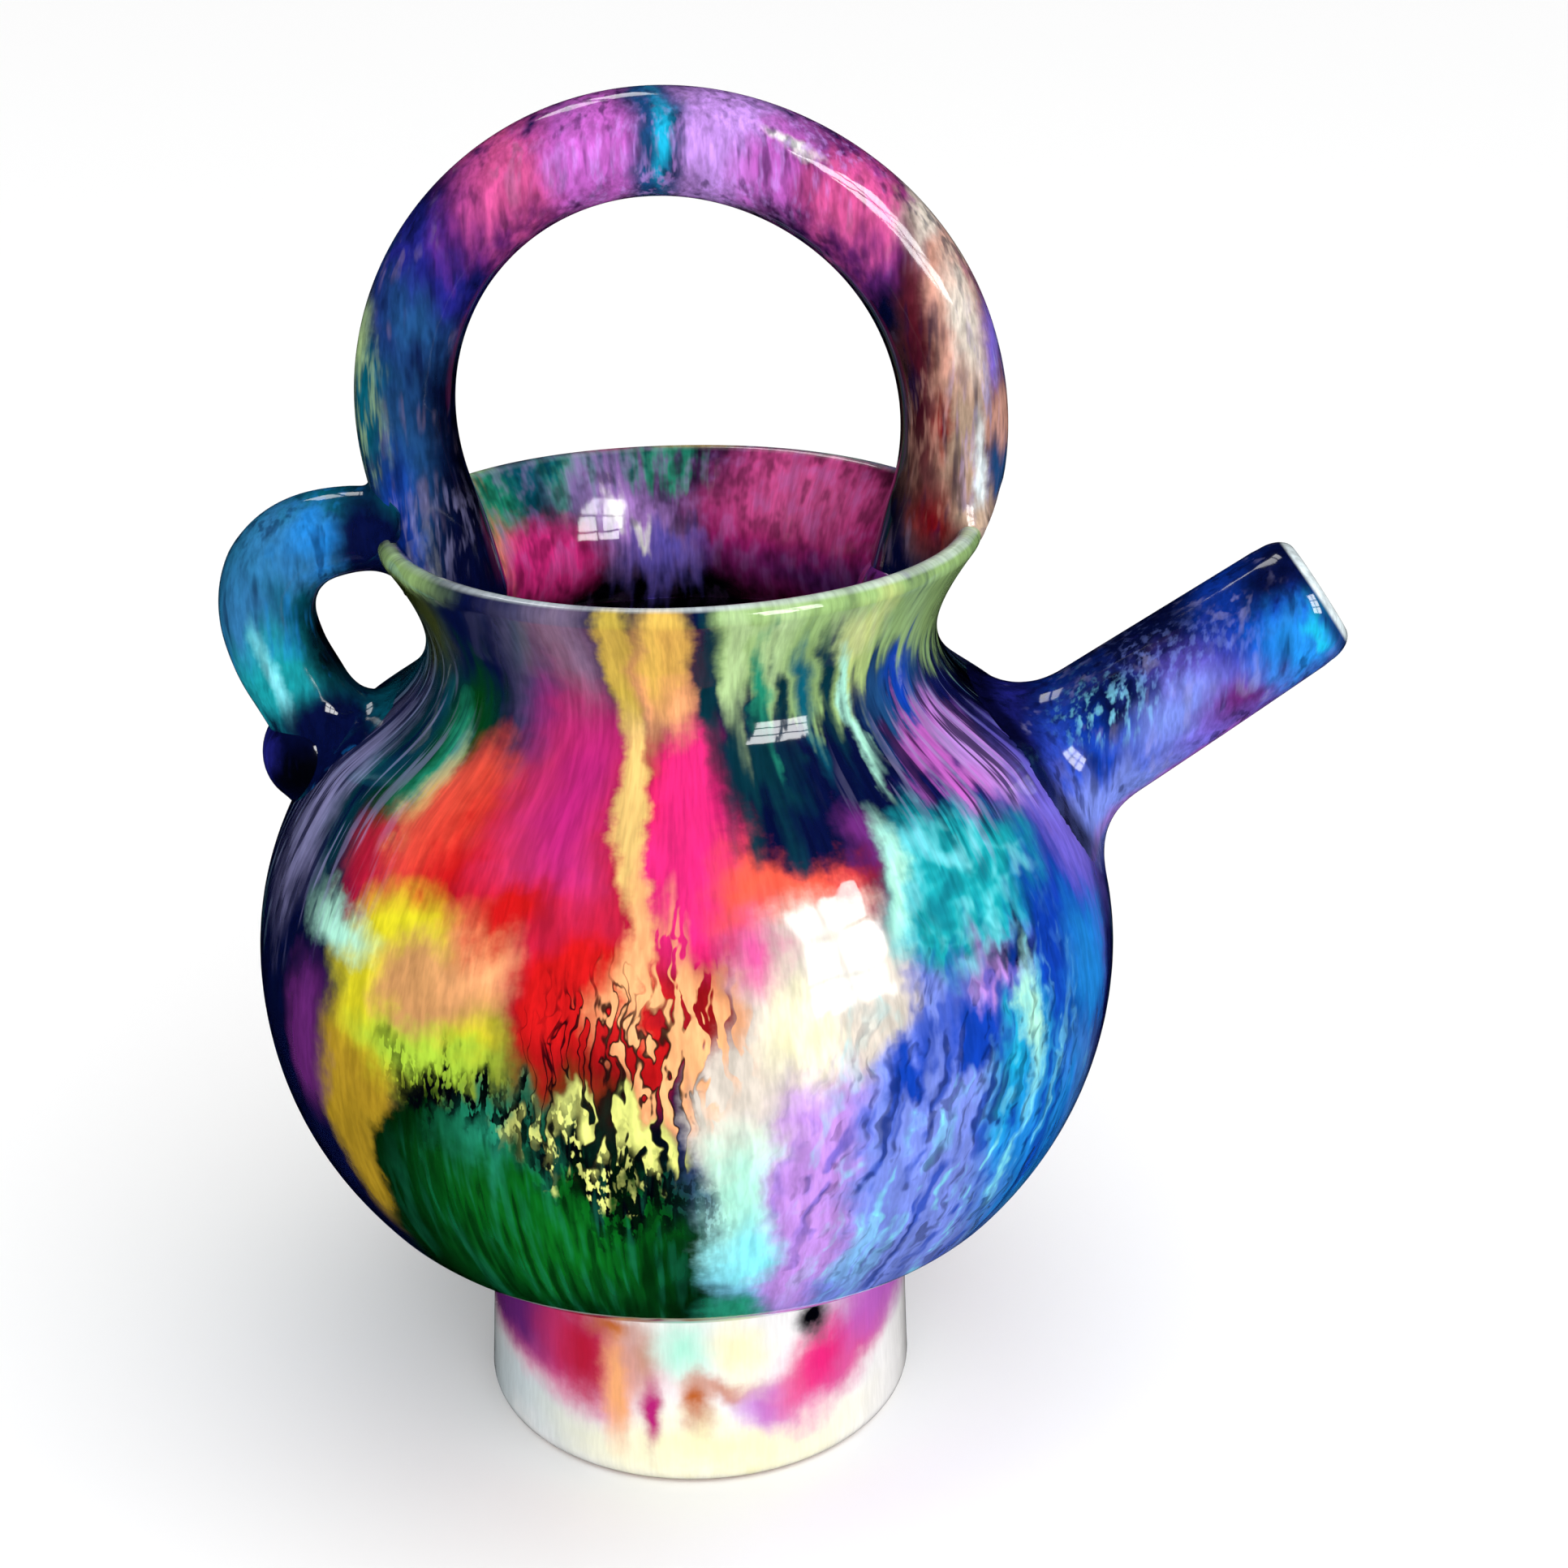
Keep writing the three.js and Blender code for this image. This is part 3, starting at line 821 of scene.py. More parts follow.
def round_chart_group():
    """Where a point is on the thrown body: degrees from the front as millimetres at the belly, and height.

    Lane is the same place drawn out down the pot, for glaze that runs."""
    b, given, made = group_of("round chart", [("Drawn Out", "Float")], CHART_OUTPUTS)
    place = b.scaled(b.node("TexCoord").outputs["Object"], 1 / MM)
    x, y, z = b.parts(place)
    turn = b.sum("ARCTAN2", x, b.sum("MULTIPLY", y, -1.0))
    along = b.sum("MULTIPLY", turn, math.degrees(1) * CHART_MM_PER_DEGREE)
    rim = b.scaled(b.vector("NORMALIZE", b.joined(x, y, 0.0)), LANE_RADIUS)
    drop = b.joined(0.0, 0.0, b.sum("MULTIPLY", z, given["Drawn Out"]))
    return b.give(made, {"Chart": b.joined(along, z, 0.0), "Place": place, "Lane": b.vector("ADD", rim, drop)})


def side_chart_group():
    """Where a point is on a handle or the spout, seen from the side."""
    b, given, made = group_of("side chart", [("Drawn Out", "Float")], CHART_OUTPUTS)
    place = b.scaled(b.node("TexCoord").outputs["Object"], 1 / MM)
    x, y, z = b.parts(place)
    lane = b.joined(x, y, b.sum("MULTIPLY", z, given["Drawn Out"]))
    return b.give(made, {"Chart": b.joined(x, z, 0.0), "Place": place, "Lane": lane})


# Noise that moves the glaze: how fine its drift, its frayed edges and its hairs are, and how much its edges fray
DRIFT_SCALE = 0.05
FRAY_SCALE = 0.24
FRAY_SHARE = 0.4
HAIR_SCALE = 0.95


def running_group():
    """Moves a chart about as glaze wanders and runs. Streak is the run's own pattern, Hair a finer one."""
    inputs = CHART_OUTPUTS + [("Wander", "Float"), ("Run", "Float"), ("Lanes", "Float")]
    outputs = [("Calm", "Vector"), ("Running", "Vector"), ("Streak", "Float"), ("Hair", "Float")]
    b, given, made = group_of("running glaze", inputs, outputs)
    fray = b.sway(given["Place"], FRAY_SCALE, 3.0, 0.6)
    drift = b.vector("ADD", b.sway(given["Place"], DRIFT_SCALE, 2.5), b.scaled(fray, FRAY_SHARE))
    wander = b.scaled(b.vector("MULTIPLY", drift, (2.0, 2.0, 0.0)), given["Wander"])
    streak = b.noise(given["Lane"], given["Lanes"])
    hair = b.noise(given["Lane"], HAIR_SCALE, 2.0, 0.6)
    fall = b.sum("MULTIPLY", b.sum("MULTIPLY_ADD", streak, 2.0, -1.0), given["Run"])
    calm = b.vector("ADD", given["Chart"], wander)
    running = b.vector("ADD", calm, b.joined(0.0, fall, 0.0))
    return b.give(made, {"Calm": calm, "Running": running, "Streak": streak, "Hair": hair})


CALM, RUN = "Calm", "Running"

# Pours on the outside of the body, from the first to the last: colour, degrees from the front, height, half width in
# degrees, half height, tilt in degrees, softness, and whether the edge is calm or runs
BODY_POURS = (
    # Wide fields under the rest
    ("indigo", 62, 126, 26, 34, 0, 0.4, CALM),
    ("periwinkle", 33, 84, 30, 46, 0, 0.3, CALM),
    ("crimson", -15, 142, 39, 19, 0, 0.25, CALM),
    ("mustard", -46, 94, 8, 24, 0, 0.3, CALM),
    # Round the back, from the spout to the loop
    ("royal", 112, 90, 26, 48, 0, 0.5, RUN),
    ("periwinkle", 106, 118, 10, 20, 0, 0.7, RUN),
    ("azure", 100, 70, 14, 24, 0, 0.6, RUN),
    ("turquoise", 126, 122, 12, 16, 10, 0.4, RUN),
    ("aqua", 122, 128, 5, 8, 0, 0.8, RUN),
    ("cyan", 132, 100, 6, 16, 0, 0.7, RUN),
    ("plum", 150, 132, 22, 22, 0, 0.5, RUN),
    ("magenta", 160, 146, 16, 14, 0, 0.5, RUN),
    ("hot pink", 174, 140, 10, 15, 0, 0.6, RUN),
    ("leaf", 160, 70, 26, 32, 0, 0.3, RUN),
    ("green", 164, 78, 16, 18, 0, 0.8, RUN),
    ("cream", 144, 100, 9, 15, 0, 0.5, RUN),
    ("lilac", 139, 80, 6, 20, 0, 0.6, RUN),
    ("amber", 178, 114, 13, 14, 0, 0.5, RUN),
    ("lemon", 168, 100, 9, 8, 0, 0.6, RUN),
    ("salmon", 180, 115, 6, 6, 0, 0.9, CALM),
    ("crimson", -158, 100, 15, 22, 0, 0.4, RUN),
    ("red", -162, 112, 9, 12, 0, 0.7, RUN),
    ("coral", -154, 124, 8, 8, 0, 0.8, RUN),
    ("magenta", -142, 140, 18, 18, 0, 0.5, RUN),
    ("rose", -150, 132, 9, 14, 0, 0.7, RUN),
    ("peach", 167, 142, 2.5, 24, 0, 0.6, RUN),
    ("teal", -112, 80, 25, 46, 0, 0.4, RUN),
    ("jade", -118, 82, 9, 22, 0, 0.7, RUN),
    ("lilac", -120, 128, 12, 18, 0, 0.6, RUN),
    ("yellow", -135, 106, 9, 12, 10, 0.5, RUN),
    ("lime", -130, 95, 7, 7, 0, 0.8, RUN),
    ("azure", -98, 66, 12, 20, 0, 0.5, RUN),
    ("cyan", -104, 104, 6, 14, 0, 0.7, RUN),
    ("plum", -88, 84, 8, 20, 0, 0.7, RUN),
    ("royal", -80, 66, 8, 22, 0, 0.7, RUN),
    # Neck
    ("navy", -45, 174, 16, 22, 0, 0.35, RUN),
    ("dark teal", -60, 162, 9, 10, 0, 0.6, CALM),
    ("olive", -72, 180, 17, 13, 0, 0.4, CALM),
    ("sage", -66, 188, 14, 3, 0, 0.9, CALM),
    ("leaf", -48, 162, 7, 9, 0, 0.8, RUN),
    ("dusk", -30, 174, 7, 17, 0, 0.7, RUN),
    ("mauve", -22, 179, 5, 12, 0, 0.9, RUN),
    ("plum", -28, 164, 5, 8, 0, 0.9, CALM),
    ("teal", -100, 172, 22, 14, 0, 0.4, RUN),
    ("violet", 120, 172, 24, 15, 0, 0.4, RUN),
    ("navy", 165, 170, 26, 18, 0, 0.4, RUN),
    ("magenta", -150, 170, 22, 14, 0, 0.4, RUN),
    ("jade", 142, 178, 8, 12, 0, 0.6, RUN),
    ("amber", 177, 183, 8, 14, 0, 0.5, RUN),
    ("hot pink", -166, 176, 6, 14, 0, 0.6, RUN),
    ("celadon", -126, 184, 10, 11, 0, 0.5, RUN),
    ("lilac", 106, 180, 6, 10, 0, 0.7, RUN),
    # Shoulder, left of the front
    ("dark teal", -64, 149, 11, 14, 0, 0.4, RUN),
    # Lavender on the left shoulder: glaze colour with a painted sheen
    ("lavender", -73, 141, 6, 15, 8, 0.9, RUN),
    ("leaf", -53, 152, 4, 10, 20, 0.6, CALM),
    ("jade", -50, 154, 3, 9, 24, 0.7, CALM),
    ("pear", -47, 149, 2, 7, 24, 0.8, CALM),
    ("crimson", -46, 140, 9, 6, 0, 0.5, CALM),
    ("coral", -40, 149, 7, 7, 10, 0.8, CALM),
    ("red", -33, 143, 8, 8, 0, 0.9, CALM),
    ("raspberry", -22, 150, 9, 20, 0, 0.6, CALM),
    ("magenta", -20, 156, 6, 12, 0, 0.9, CALM),
    ("crimson", -18, 134, 9, 8, 0, 0.8, CALM),
    # Belly, left of the front
    ("yellow", -41, 123, 10, 16, 8, 0.3, CALM),
    ("yellow", -33, 116, 9, 10, 0, 0.5, CALM),
    ("mint", -53, 129, 7, 4, -10, 0.7, CALM),
    ("plum", -57, 105, 5, 14, 0, 0.5, CALM),
    ("salmon", -35, 123, 8, 8, 0, 0.4, CALM),
    ("peach", -28, 130, 5, 6, 0, 0.8, CALM),
    ("red", -26, 138, 7, 5, 30, 0.7, CALM),
    ("lime", -33, 111, 11, 5, -4, 0.6, CALM),
    # Front
    ("red", -12, 121, 11, 16, 0, 0.2, CALM),
    ("dark red", 3, 128, 5, 14, 0, 0.5, CALM),
    ("dark red", -13, 110, 8, 7, 0, 0.8, CALM),
    ("hot pink", 1, 149, 8, 15, 0, 0.4, CALM),
    ("coral", 13, 142, 9, 8, -12, 0.5, CALM),
    ("ochre", -12.5, 179, 3, 15, 0, 0.4, CALM),
    ("peach", -7.5, 172, 2.5, 9, 0, 0.9, CALM),
    ("amber", -3.5, 180, 5, 13, 0, 0.4, CALM),
    ("peach", -1, 168, 4, 5, 0, 0.9, CALM),
    ("dark teal", 5.5, 174, 3, 15, 0, 0.3, CALM),
    ("straw", -9.5, 154, 2.2, 15, 18, 0.5, CALM),
    ("peach", -6.2, 134, 2, 12, 4, 0.5, CALM),
    # Dark field right of the neck, and the pale runs that come down on it
    ("navy", 23, 155, 17, 11, -6, 0.2, CALM),
    ("dark teal", 13, 156, 6, 6, 0, 0.7, RUN),
    ("plum", 27, 147, 3.5, 4, 0, 0.7, CALM),
    ("sage", 72, 181, 32, 14, 0, 0.3, RUN),
    ("deep blue", 52, 164, 11, 9, 0, 0.5, RUN),
    ("royal", 54, 166, 4, 6, 0, 0.9, RUN),
    ("sage", 27, 183, 20, 19, 0, 0.12, RUN),
    ("celadon", 11, 180, 2.5, 15, 0, 0.6, RUN),
    ("celadon", 19, 182, 3, 12, 0, 0.8, RUN),
    ("pear", 38, 180, 4, 10, 0, 0.9, RUN),
    ("jade", 16, 170, 1.6, 9, 0, 0.8, RUN),
    ("teal", 25, 171, 2, 9, 0, 0.8, RUN),
    ("dark teal", 31, 172, 2, 12, 0, 0.7, RUN),
    ("dark teal", 20, 168, 1.5, 9, 0, 0.7, RUN),
    ("mint", 36, 166, 1.4, 9, 8, 0.8, RUN),
    # Cream field right of the front
    ("cream", 17, 126, 12, 15, 0, 0.2, CALM),
    ("cream", 7, 106, 7, 18, 0, 0.3, CALM),
    ("rose", 9, 134, 3.5, 6, 0, 0.9, CALM),
    ("lilac", 15, 108, 4.5, 8, 0, 0.9, CALM),
    ("ivory", 13, 120, 4, 6, 0, 0.9, CALM),
    # Right side
    ("orchid", 55, 154, 12, 5, 0, 0.5, RUN),
    ("lilac", 62, 150, 5, 8, 0, 0.8, RUN),
    ("ink", 86, 156, 14, 10, 0, 0.5, RUN),
    ("turquoise", 43, 136, 15, 13, 0, 0.25, CALM),
    ("mint", 30, 140, 2, 8, -14, 0.8, CALM),
    ("violet", 70, 130, 9, 18, 0, 0.5, RUN),
    ("royal", 57, 116, 13, 17, 0, 0.5, RUN),
    ("azure", 64, 112, 6, 12, 0, 0.7, RUN),
    ("cyan", 45, 100, 6, 16, 0, 0.6, RUN),
    ("azure", 52, 82, 12, 22, 0, 0.5, RUN),
    ("lilac", 41, 120, 4, 6, 0, 0.8, RUN),
    ("royal", 37, 111, 5, 6, 20, 0.5, RUN),
    ("royal", 27, 109, 3, 4, 0, 0.7, RUN),
    ("navy", 45, 124, 5, 3, 0, 0.8, RUN),
    ("mint", 47, 111, 1.6, 9, 0, 0.8, RUN),
    # Navy bands down both sides, where the belly turns away from the front: painted shade along the outline
    ("navy", 79, 86, 7, 42, 0, 0.8, RUN),
    ("navy", -79, 100, 6, 46, 0, 0.8, RUN),
    # Green field and what meets it
    ("dark green", -21, 60, 25, 44, 0, 0.1, CALM),
    ("dark green", -31, 80, 13, 29, 0, 0.1, CALM),
    ("leaf", -21, 76, 17, 28, 0, 0.6, RUN),
    ("green", -18, 84, 12, 18, 0, 0.8, RUN),
    ("jade", -20, 101, 8, 5, 0, 0.9, RUN),
    ("mint", 6, 88, 5, 15, 0, 0.5, CALM),
    ("aqua", 7, 76, 4.5, 11, 0, 0.7, CALM),
    ("lilac", 14, 82, 5, 28, 0, 0.5, CALM),
    ("jade", 6, 57, 5, 6, 0, 0.7, CALM),
)

# Pours on the foot
FOOT_POURS = (
    # Cool grey low on the left of the foot: painted shade
    ("cool grey", -60, 10, 32, 9, 0, 0.8, CALM),
    ("rose", -54, 30, 36, 12, -6, 0.6, CALM),
    ("plum", -66, 33, 34, 11, 0, 0.6, CALM),
    ("raspberry", -36, 30, 12, 8, -12, 1.0, CALM),
    ("ivory", 4, 8, 34, 6, 0, 0.9, CALM),
    ("crimson", -31, 28, 6, 6, -12, 1.0, CALM),
    ("rust", -24, 35, 5, 3, 0, 0.9, CALM),
    ("peach", -23, 22, 3.5, 10, -8, 0.8, CALM),
    ("blush", -16, 28, 4, 8, 0, 0.9, CALM),
    ("magenta", -14, 15, 2.5, 6, 0, 0.8, CALM),
    ("mint", -4, 31, 7, 6, 0, 1.0, CALM),
    ("rust", -1, 18, 3.5, 6, -16, 0.9, CALM),
    ("blush", 7, 22, 9, 3, 0, 0.9, CALM),
    ("ivory", 11, 32, 6, 6, 0, 0.9, CALM),
    ("lilac", 18, 18, 8, 4, 0, 0.9, CALM),
    ("rose", 44, 25, 25, 9, 10, 0.6, CALM),
    ("orchid", 66, 34, 26, 10, 0, 0.7, CALM),
    ("hot pink", 33, 25, 8, 5, 14, 0.9, CALM),
    ("ink", 31, 34, 5, 4.5, 0, 0.6, CALM),
    ("rose", 120, 30, 34, 11, 0, 0.6, CALM),
    ("plum", 165, 34, 26, 10, 0, 0.6, CALM),
    ("peach", -160, 22, 24, 11, 0, 0.8, CALM),
    ("turquoise", -120, 34, 28, 9, 0, 0.7, CALM),
    ("crimson", 145, 20, 9, 7, 0, 0.7, CALM),
)

# Pours inside the mouth, where 180 degrees is the far side
MOUTH_POURS = (
    ("indigo", 0, 176, 60, 12, 0, 0.5, CALM),
    ("navy", 180, 180, 30, 14, 0, 0.5, CALM),
    ("dark teal", -140, 184, 27, 9, 0, 0.6, CALM),
    ("teal", -150, 187, 14, 5, 0, 0.9, CALM),
    ("jade", -133, 185, 6, 5, 0, 0.9, RUN),
    ("jade", -156, 187, 5, 4, 0, 0.9, RUN),
    ("jade", -176, 188, 7, 3, 0, 0.9, RUN),
    ("magenta", 146, 175, 27, 15, 0, 0.4, CALM),
    ("rose", 148, 182, 20, 7, 0, 0.8, CALM),
    ("plum", 138, 166, 26, 5, 0, 0.9, CALM),
    ("dark teal", 108, 178, 12, 13, 0, 0.6, CALM),
    # The lilac here and the two white pours below: a painted highlight on the far inside wall
    ("lilac", -168, 177, 12, 8, 12, 0.9, RUN),
    ("violet", -176, 167, 9, 6, 0, 0.9, RUN),
    ("white", -164, 179, 2.5, 3, 0, 0.9, RUN),
    ("white", -171, 174, 2, 3, 0, 0.9, RUN),
    ("peach", -125, 175, 9, 7, 0, 0.7, RUN),
    ("fuchsia", -142, 169, 14, 8, 0, 0.6, CALM),
)

# Pours on the hoop, by place across and height
HOOP_POURS = (
    ("deep blue", -50, 202, 5, 24, 0, 0.9, RUN),
    ("royal", -51, 190, 3, 12, 0, 0.9, RUN),
    ("teal", -58, 216, 6, 11, 0, 0.5, RUN),
    ("celadon", -58, 225, 2.5, 7, -15, 0.8, RUN),
    ("indigo", -43, 236, 12, 12, 45, 0.5, CALM),
    ("deep blue", -46, 229, 5, 9, 30, 0.8, RUN),
    ("plum", -27, 250, 15, 13, 30, 0.3, RUN),
    ("rose", -28, 253, 9, 8, 30, 0.7, RUN),
    ("orchid", -13, 257, 9, 11, 0, 0.4, RUN),
    ("lilac", 9, 259, 12, 12, 0, 0.4, RUN),
    ("orchid", 20, 255, 8, 9, -20, 0.6, RUN),
    ("deep blue", -3, 259, 4.5, 15, 0, 0.5, RUN),
    ("cyan", -2, 261, 1.5, 6, 0, 0.8, CALM),
    ("plum", 36, 247, 14, 12, -40, 0.3, RUN),
    ("rose", 33, 249, 9, 7, -40, 0.6, RUN),
    # White line near the top: a white drip line that also serves as a painted highlight
    ("white", 22, 259.5, 5, 0.9, -28, 0.8, CALM),
    ("plum", 56, 226, 9, 16, 10, 0.5, RUN),
    ("rose brown", 51, 208, 11, 26, 0, 0.4, RUN),
    ("mauve", 60, 236, 3, 8, 20, 0.8, RUN),
    ("blush", 49, 234, 5, 12, 18, 0.6, RUN),
    ("blush", 52, 221, 4, 7, 0, 0.8, RUN),
    # Cream on the right side, here and below: cream glaze with a painted highlight
    ("cream", 52.5, 227, 3, 11, 16, 0.6, RUN),
    ("cream", 44, 245, 4, 4, -50, 0.8, RUN),
    ("beige", 53, 207, 4, 9, 0, 0.8, RUN),
    ("dark red", 49, 209, 2, 5, 0, 0.9, RUN),
    ("violet", 61, 223, 3.5, 6, 0, 0.8, RUN),
    ("blush", 62, 209, 3, 5, 0, 0.8, RUN),
    ("deep blue", 61, 198, 2, 6, 0, 0.8, RUN),
    ("cool grey", 57, 200, 1.2, 9, 0, 0.9, RUN),
    ("beige", 56, 191, 4, 4, 0, 0.9, RUN),
    ("dark red", 47, 190, 3.5, 5, 0, 0.9, CALM),
    ("maroon", 44, 220, 2.5, 26, 6, 0.8, CALM),
    # Ink over the inner side of the arch: painted shade under the hoop
    ("ink", 0.9, 206, 44, 42, 0, 0.12, CALM),
)

# Broken strokes on the hoop: colour, place across, height, half width, half height, tilt and softness
HOOP_HATCHING = (
    ("lavender", -47, 189, 8, 10, 0, 0.5),
    ("blush", 50, 208, 6, 16, 0, 0.5),
    ("celadon", -57, 214, 5, 14, 0, 0.5),
    ("lavender", 56, 210, 5, 18, 0, 0.5),
    ("lilac", 8, 256, 30, 10, 0, 0.4),
)

# Pours on the one-finger loop and its button
LOOP_POURS = (
    ("teal", -72, 176, 16, 24, 0, 0.5, CALM),
    ("lake", -70, 187, 13, 8, -20, 0.6, RUN),
    ("azure", -67, 188, 5, 5, 0, 0.9, RUN),
    ("lake", -80, 171, 6, 14, 8, 0.6, RUN),
    ("turquoise", -76, 161, 8, 9, 0, 0.6, RUN),
    # Thin aqua streak: a painted highlight
    ("aqua", -77, 163, 1.2, 8, 14, 0.9, CALM),
    ("navy", -57, 187, 8, 12, 0, 0.4, CALM),
    # Navy at the loop's tail, here and below: dark glaze with painted shade under the tail
    ("navy", -66, 148, 13, 9, -60, 0.3, CALM),
    ("navy", -72, 145, 14, 7, 0, 0.8, RUN),
    # Ink on the side facing the neck: painted shade between loop and neck
    ("ink", -60, 170, 11, 12, 0, 0.25, CALM),
)
BUTTON_POURS = (
    # Ink on the button under the loop's tail: dark glaze with painted shade
    ("ink", -73, 143, 9, 7, 0, 0.8, CALM),
    ("indigo", -82, 146, 3, 6, 0, 0.9, RUN),
    ("maroon", 41, 174, 10, 7, 0, 0.8, RUN),
    ("plum", 38, 178, 6, 3, 0, 0.9, RUN),
    ("deep blue", -41, 174, 10, 7, 0, 0.8, RUN),
    ("royal", -38, 178, 5, 3, 0, 0.9, RUN),
)

# Pours on the spout, by place across and height
SPOUT_POURS = (
    ("violet", 96, 148, 26, 11, 34, 0.8, CALM),
    ("navy", 94, 170, 38, 6, 34, 0.6, RUN),
    ("periwinkle", 84, 136, 12, 12, 60, 0.7, CALM),
    ("royal", 80, 148, 11, 8, 10, 0.6, RUN),
    ("navy", 82, 153, 7, 4, 10, 0.9, RUN),
    ("periwinkle", 94, 152, 9, 4, 34, 0.9, CALM),
    ("plum", 107, 154, 7, 4, 34, 1.0, CALM),
    ("orchid", 101, 141, 20, 2, 34, 0.9, CALM),
    ("royal", 113, 172, 14, 11, 34, 0.5, CALM),
    ("azure", 119, 165, 9, 8, 34, 0.8, RUN),
    # Cyan spot near the tip: a painted glint
    ("cyan", 122, 168, 1.5, 4, 34, 0.9, RUN),
    ("navy", 117, 179, 14, 4, 34, 0.6, CALM),
)
SPOUT_HATCHING = (
    ("periwinkle", 94, 157, 16, 8, 34, 0.5),
    ("aqua", 81, 151, 8, 5, 10, 0.6),
)

# Zones of fine marks on the body, given as pours are
MARK_ZONES = {
    "front": (0, 110, 78, 140, 0, 0.15, RUN),
    "left shoulder": (-70, 146, 20, 24, 0, 0.5, RUN),
    "right shoulder": (56, 153, 24, 10, 0, 0.5, RUN),
    "blue strokes": (36, 92, 24, 36, 0, 0.4, RUN),
    "turquoise pool": (42, 136, 13, 12, 0, 0.4, CALM),
    "peach drips": (-3, 121, 8, 15, 0, 0.4, RUN),
    "lemon drips": (-11, 101, 10, 8, 0, 0.25, RUN),
    "veins": (-10, 112, 11, 20, 0, 0.25, RUN),
    "speckle under the drips": (-11, 95, 12, 7, -24, 0.5, RUN),
    "speckle under the yellow": (-27, 106, 12, 4, -10, 0.5, RUN),
    "green hatching": (-20, 76, 20, 26, 0, 0.4, RUN),
    # The pale lip's zone, toward the front and right: thin glaze at the edge with a painted highlight
    "pale lip": (20, LIP_TOP_Z, 62, 40, 0, 0.4, RUN),
}
# How far beyond its oval a pour may be carried, and how near the back it is drawn at both of the chart's ends
POUR_CARRY = 12.0
POUR_SPREAD = 1.6
CHART_END = 170.0

# Gloss and skin of the glaze
GLAZE_IOR = 1.45
NOISE_LOW, NOISE_HIGH = 0.3, 0.7
SMOOTHEST, ROUGHEST = 0.05, 0.11
RIPPLE_SCALE = 0.09
STREAK_RELIEF = 0.12
BUMP_STRENGTH = 0.35
BUMP_DEPTH_M = 0.0006

# Where in a noise strokes and drips begin
DASH_DARK = 0.58
DASH_PALE = 0.42
DRIP_EDGE = 0.47
DRIP_SOFT = 0.025
VEIN_IN, VEIN_OUT = 0.01, 0.045


def patch(b, chart, pour):
    """How far a point lies in an oval patch on a chart, from 0 outside to 1 inside."""
    across, height, half_across, half_height, tilt, softness = pour
    oval = b.node("TexGradient", {"Vector": chart}, gradient_type="SPHERICAL")
    place = oval.texture_mapping
    place.vector_type = "TEXTURE"
    place.translation = (across, height, 0.0)
    place.rotation = (0.0, 0.0, math.radians(tilt))
    place.scale = (half_across * (1 + softness), half_height * (1 + softness), 1.0)
    return b.ramp(oval.outputs["Fac"], 0.0, 2 * softness / (1 + softness))


def painted(b, below, pours, run):
    """Lays a list of pours over a colour."""
    for name, *pour, edge in pours:
        below = b.lay(below, name, patch(b, run.outputs[edge], pour))
    return below


def on_round(pours, low=-math.inf, high=math.inf):
    """Pours given in degrees as pours on the round chart, with those near the back on both its ends."""
    placed = []
    for name, degrees, height, half_degrees, half_height, tilt, softness, edge in pours:
        reach = half_height * (1 + softness) + POUR_CARRY
        if height + reach < low or height - reach > high:
            continue
        turns = [degrees]
        if abs(degrees) + POUR_SPREAD * half_degrees > CHART_END:
            turns.append(degrees - math.copysign(360, degrees))
        for turn in turns:
            placed.append((name, turn * CHART_MM_PER_DEGREE, height, half_degrees * CHART_MM_PER_DEGREE, half_height,
                           tilt, softness, edge))
    return placed


def zone(b, run, name):
    """How far a point lies in a zone of the round body."""
    degrees, height, half_degrees, half_height, tilt, softness, edge = MARK_ZONES[name]
    across, half_across = degrees * CHART_MM_PER_DEGREE, half_degrees * CHART_MM_PER_DEGREE
    return patch(b, run.outputs[edge], (across, height, half_across, half_height, tilt, softness))


def glaze_start(name, chart_group, drawn_out, wander, run_mm, lanes):
    """A new glaze with its chart and its running chart."""
    material = bpy.data.materials.new(name)
    material.use_nodes = True
    shader = material.node_tree.nodes["Principled BSDF"]
    shader.inputs["IOR"].default_value = GLAZE_IOR
    b = Brush(material.node_tree)
    chart = b.use(chart_group, {"Drawn Out": drawn_out})
    places = {title: chart.outputs[title] for title, kind in CHART_OUTPUTS}
    run = b.use(RUNNING, {**places, "Wander": wander, "Run": run_mm, "Lanes": lanes})
    return material, b, shader, chart, run


def glossed(b, shader, below, run, place, contrast):
    """The last of every glaze: streaks light and dark, gloss that varies, and a skin that is not quite flat."""
    streak, hair = [b.ramp(run.outputs[title], NOISE_LOW, NOISE_HIGH, 1 - contrast, 1 + contrast / 2)
                    for title in ("Streak", "Hair")]
    shade = b.sum("MULTIPLY", streak, hair)
    tone = b.node("CombineColor", {0: shade, 1: shade, 2: shade}).outputs[0]
    b.tree.links.new(b.over(below, tone, 1.0, "MULTIPLY"), shader.inputs["Base Color"])
    ripple = b.noise(place, RIPPLE_SCALE)
    b.tree.links.new(b.ramp(ripple, NOISE_LOW, NOISE_HIGH, SMOOTHEST, ROUGHEST), shader.inputs["Roughness"])
    level = b.sum("MULTIPLY_ADD", run.outputs["Streak"], STREAK_RELIEF, ripple)
    bump = b.node("Bump", {"Strength": BUMP_STRENGTH, "Distance": BUMP_DEPTH_M, "Height": level})
    b.tree.links.new(bump.outputs["Normal"], shader.inputs["Normal"])


def dashes(b, lane, scale, drawn, soft=0.04):
    """Short strokes drawn out down the run: the dark ones, and the pale ones between them."""
    flow = b.noise(b.vector("MULTIPLY", lane, (1.0, 1.0, drawn)), scale, 2.0, 0.55)
    return b.ramp(flow, DASH_DARK - soft, DASH_DARK + soft), b.ramp(flow, DASH_PALE + soft, DASH_PALE - soft)


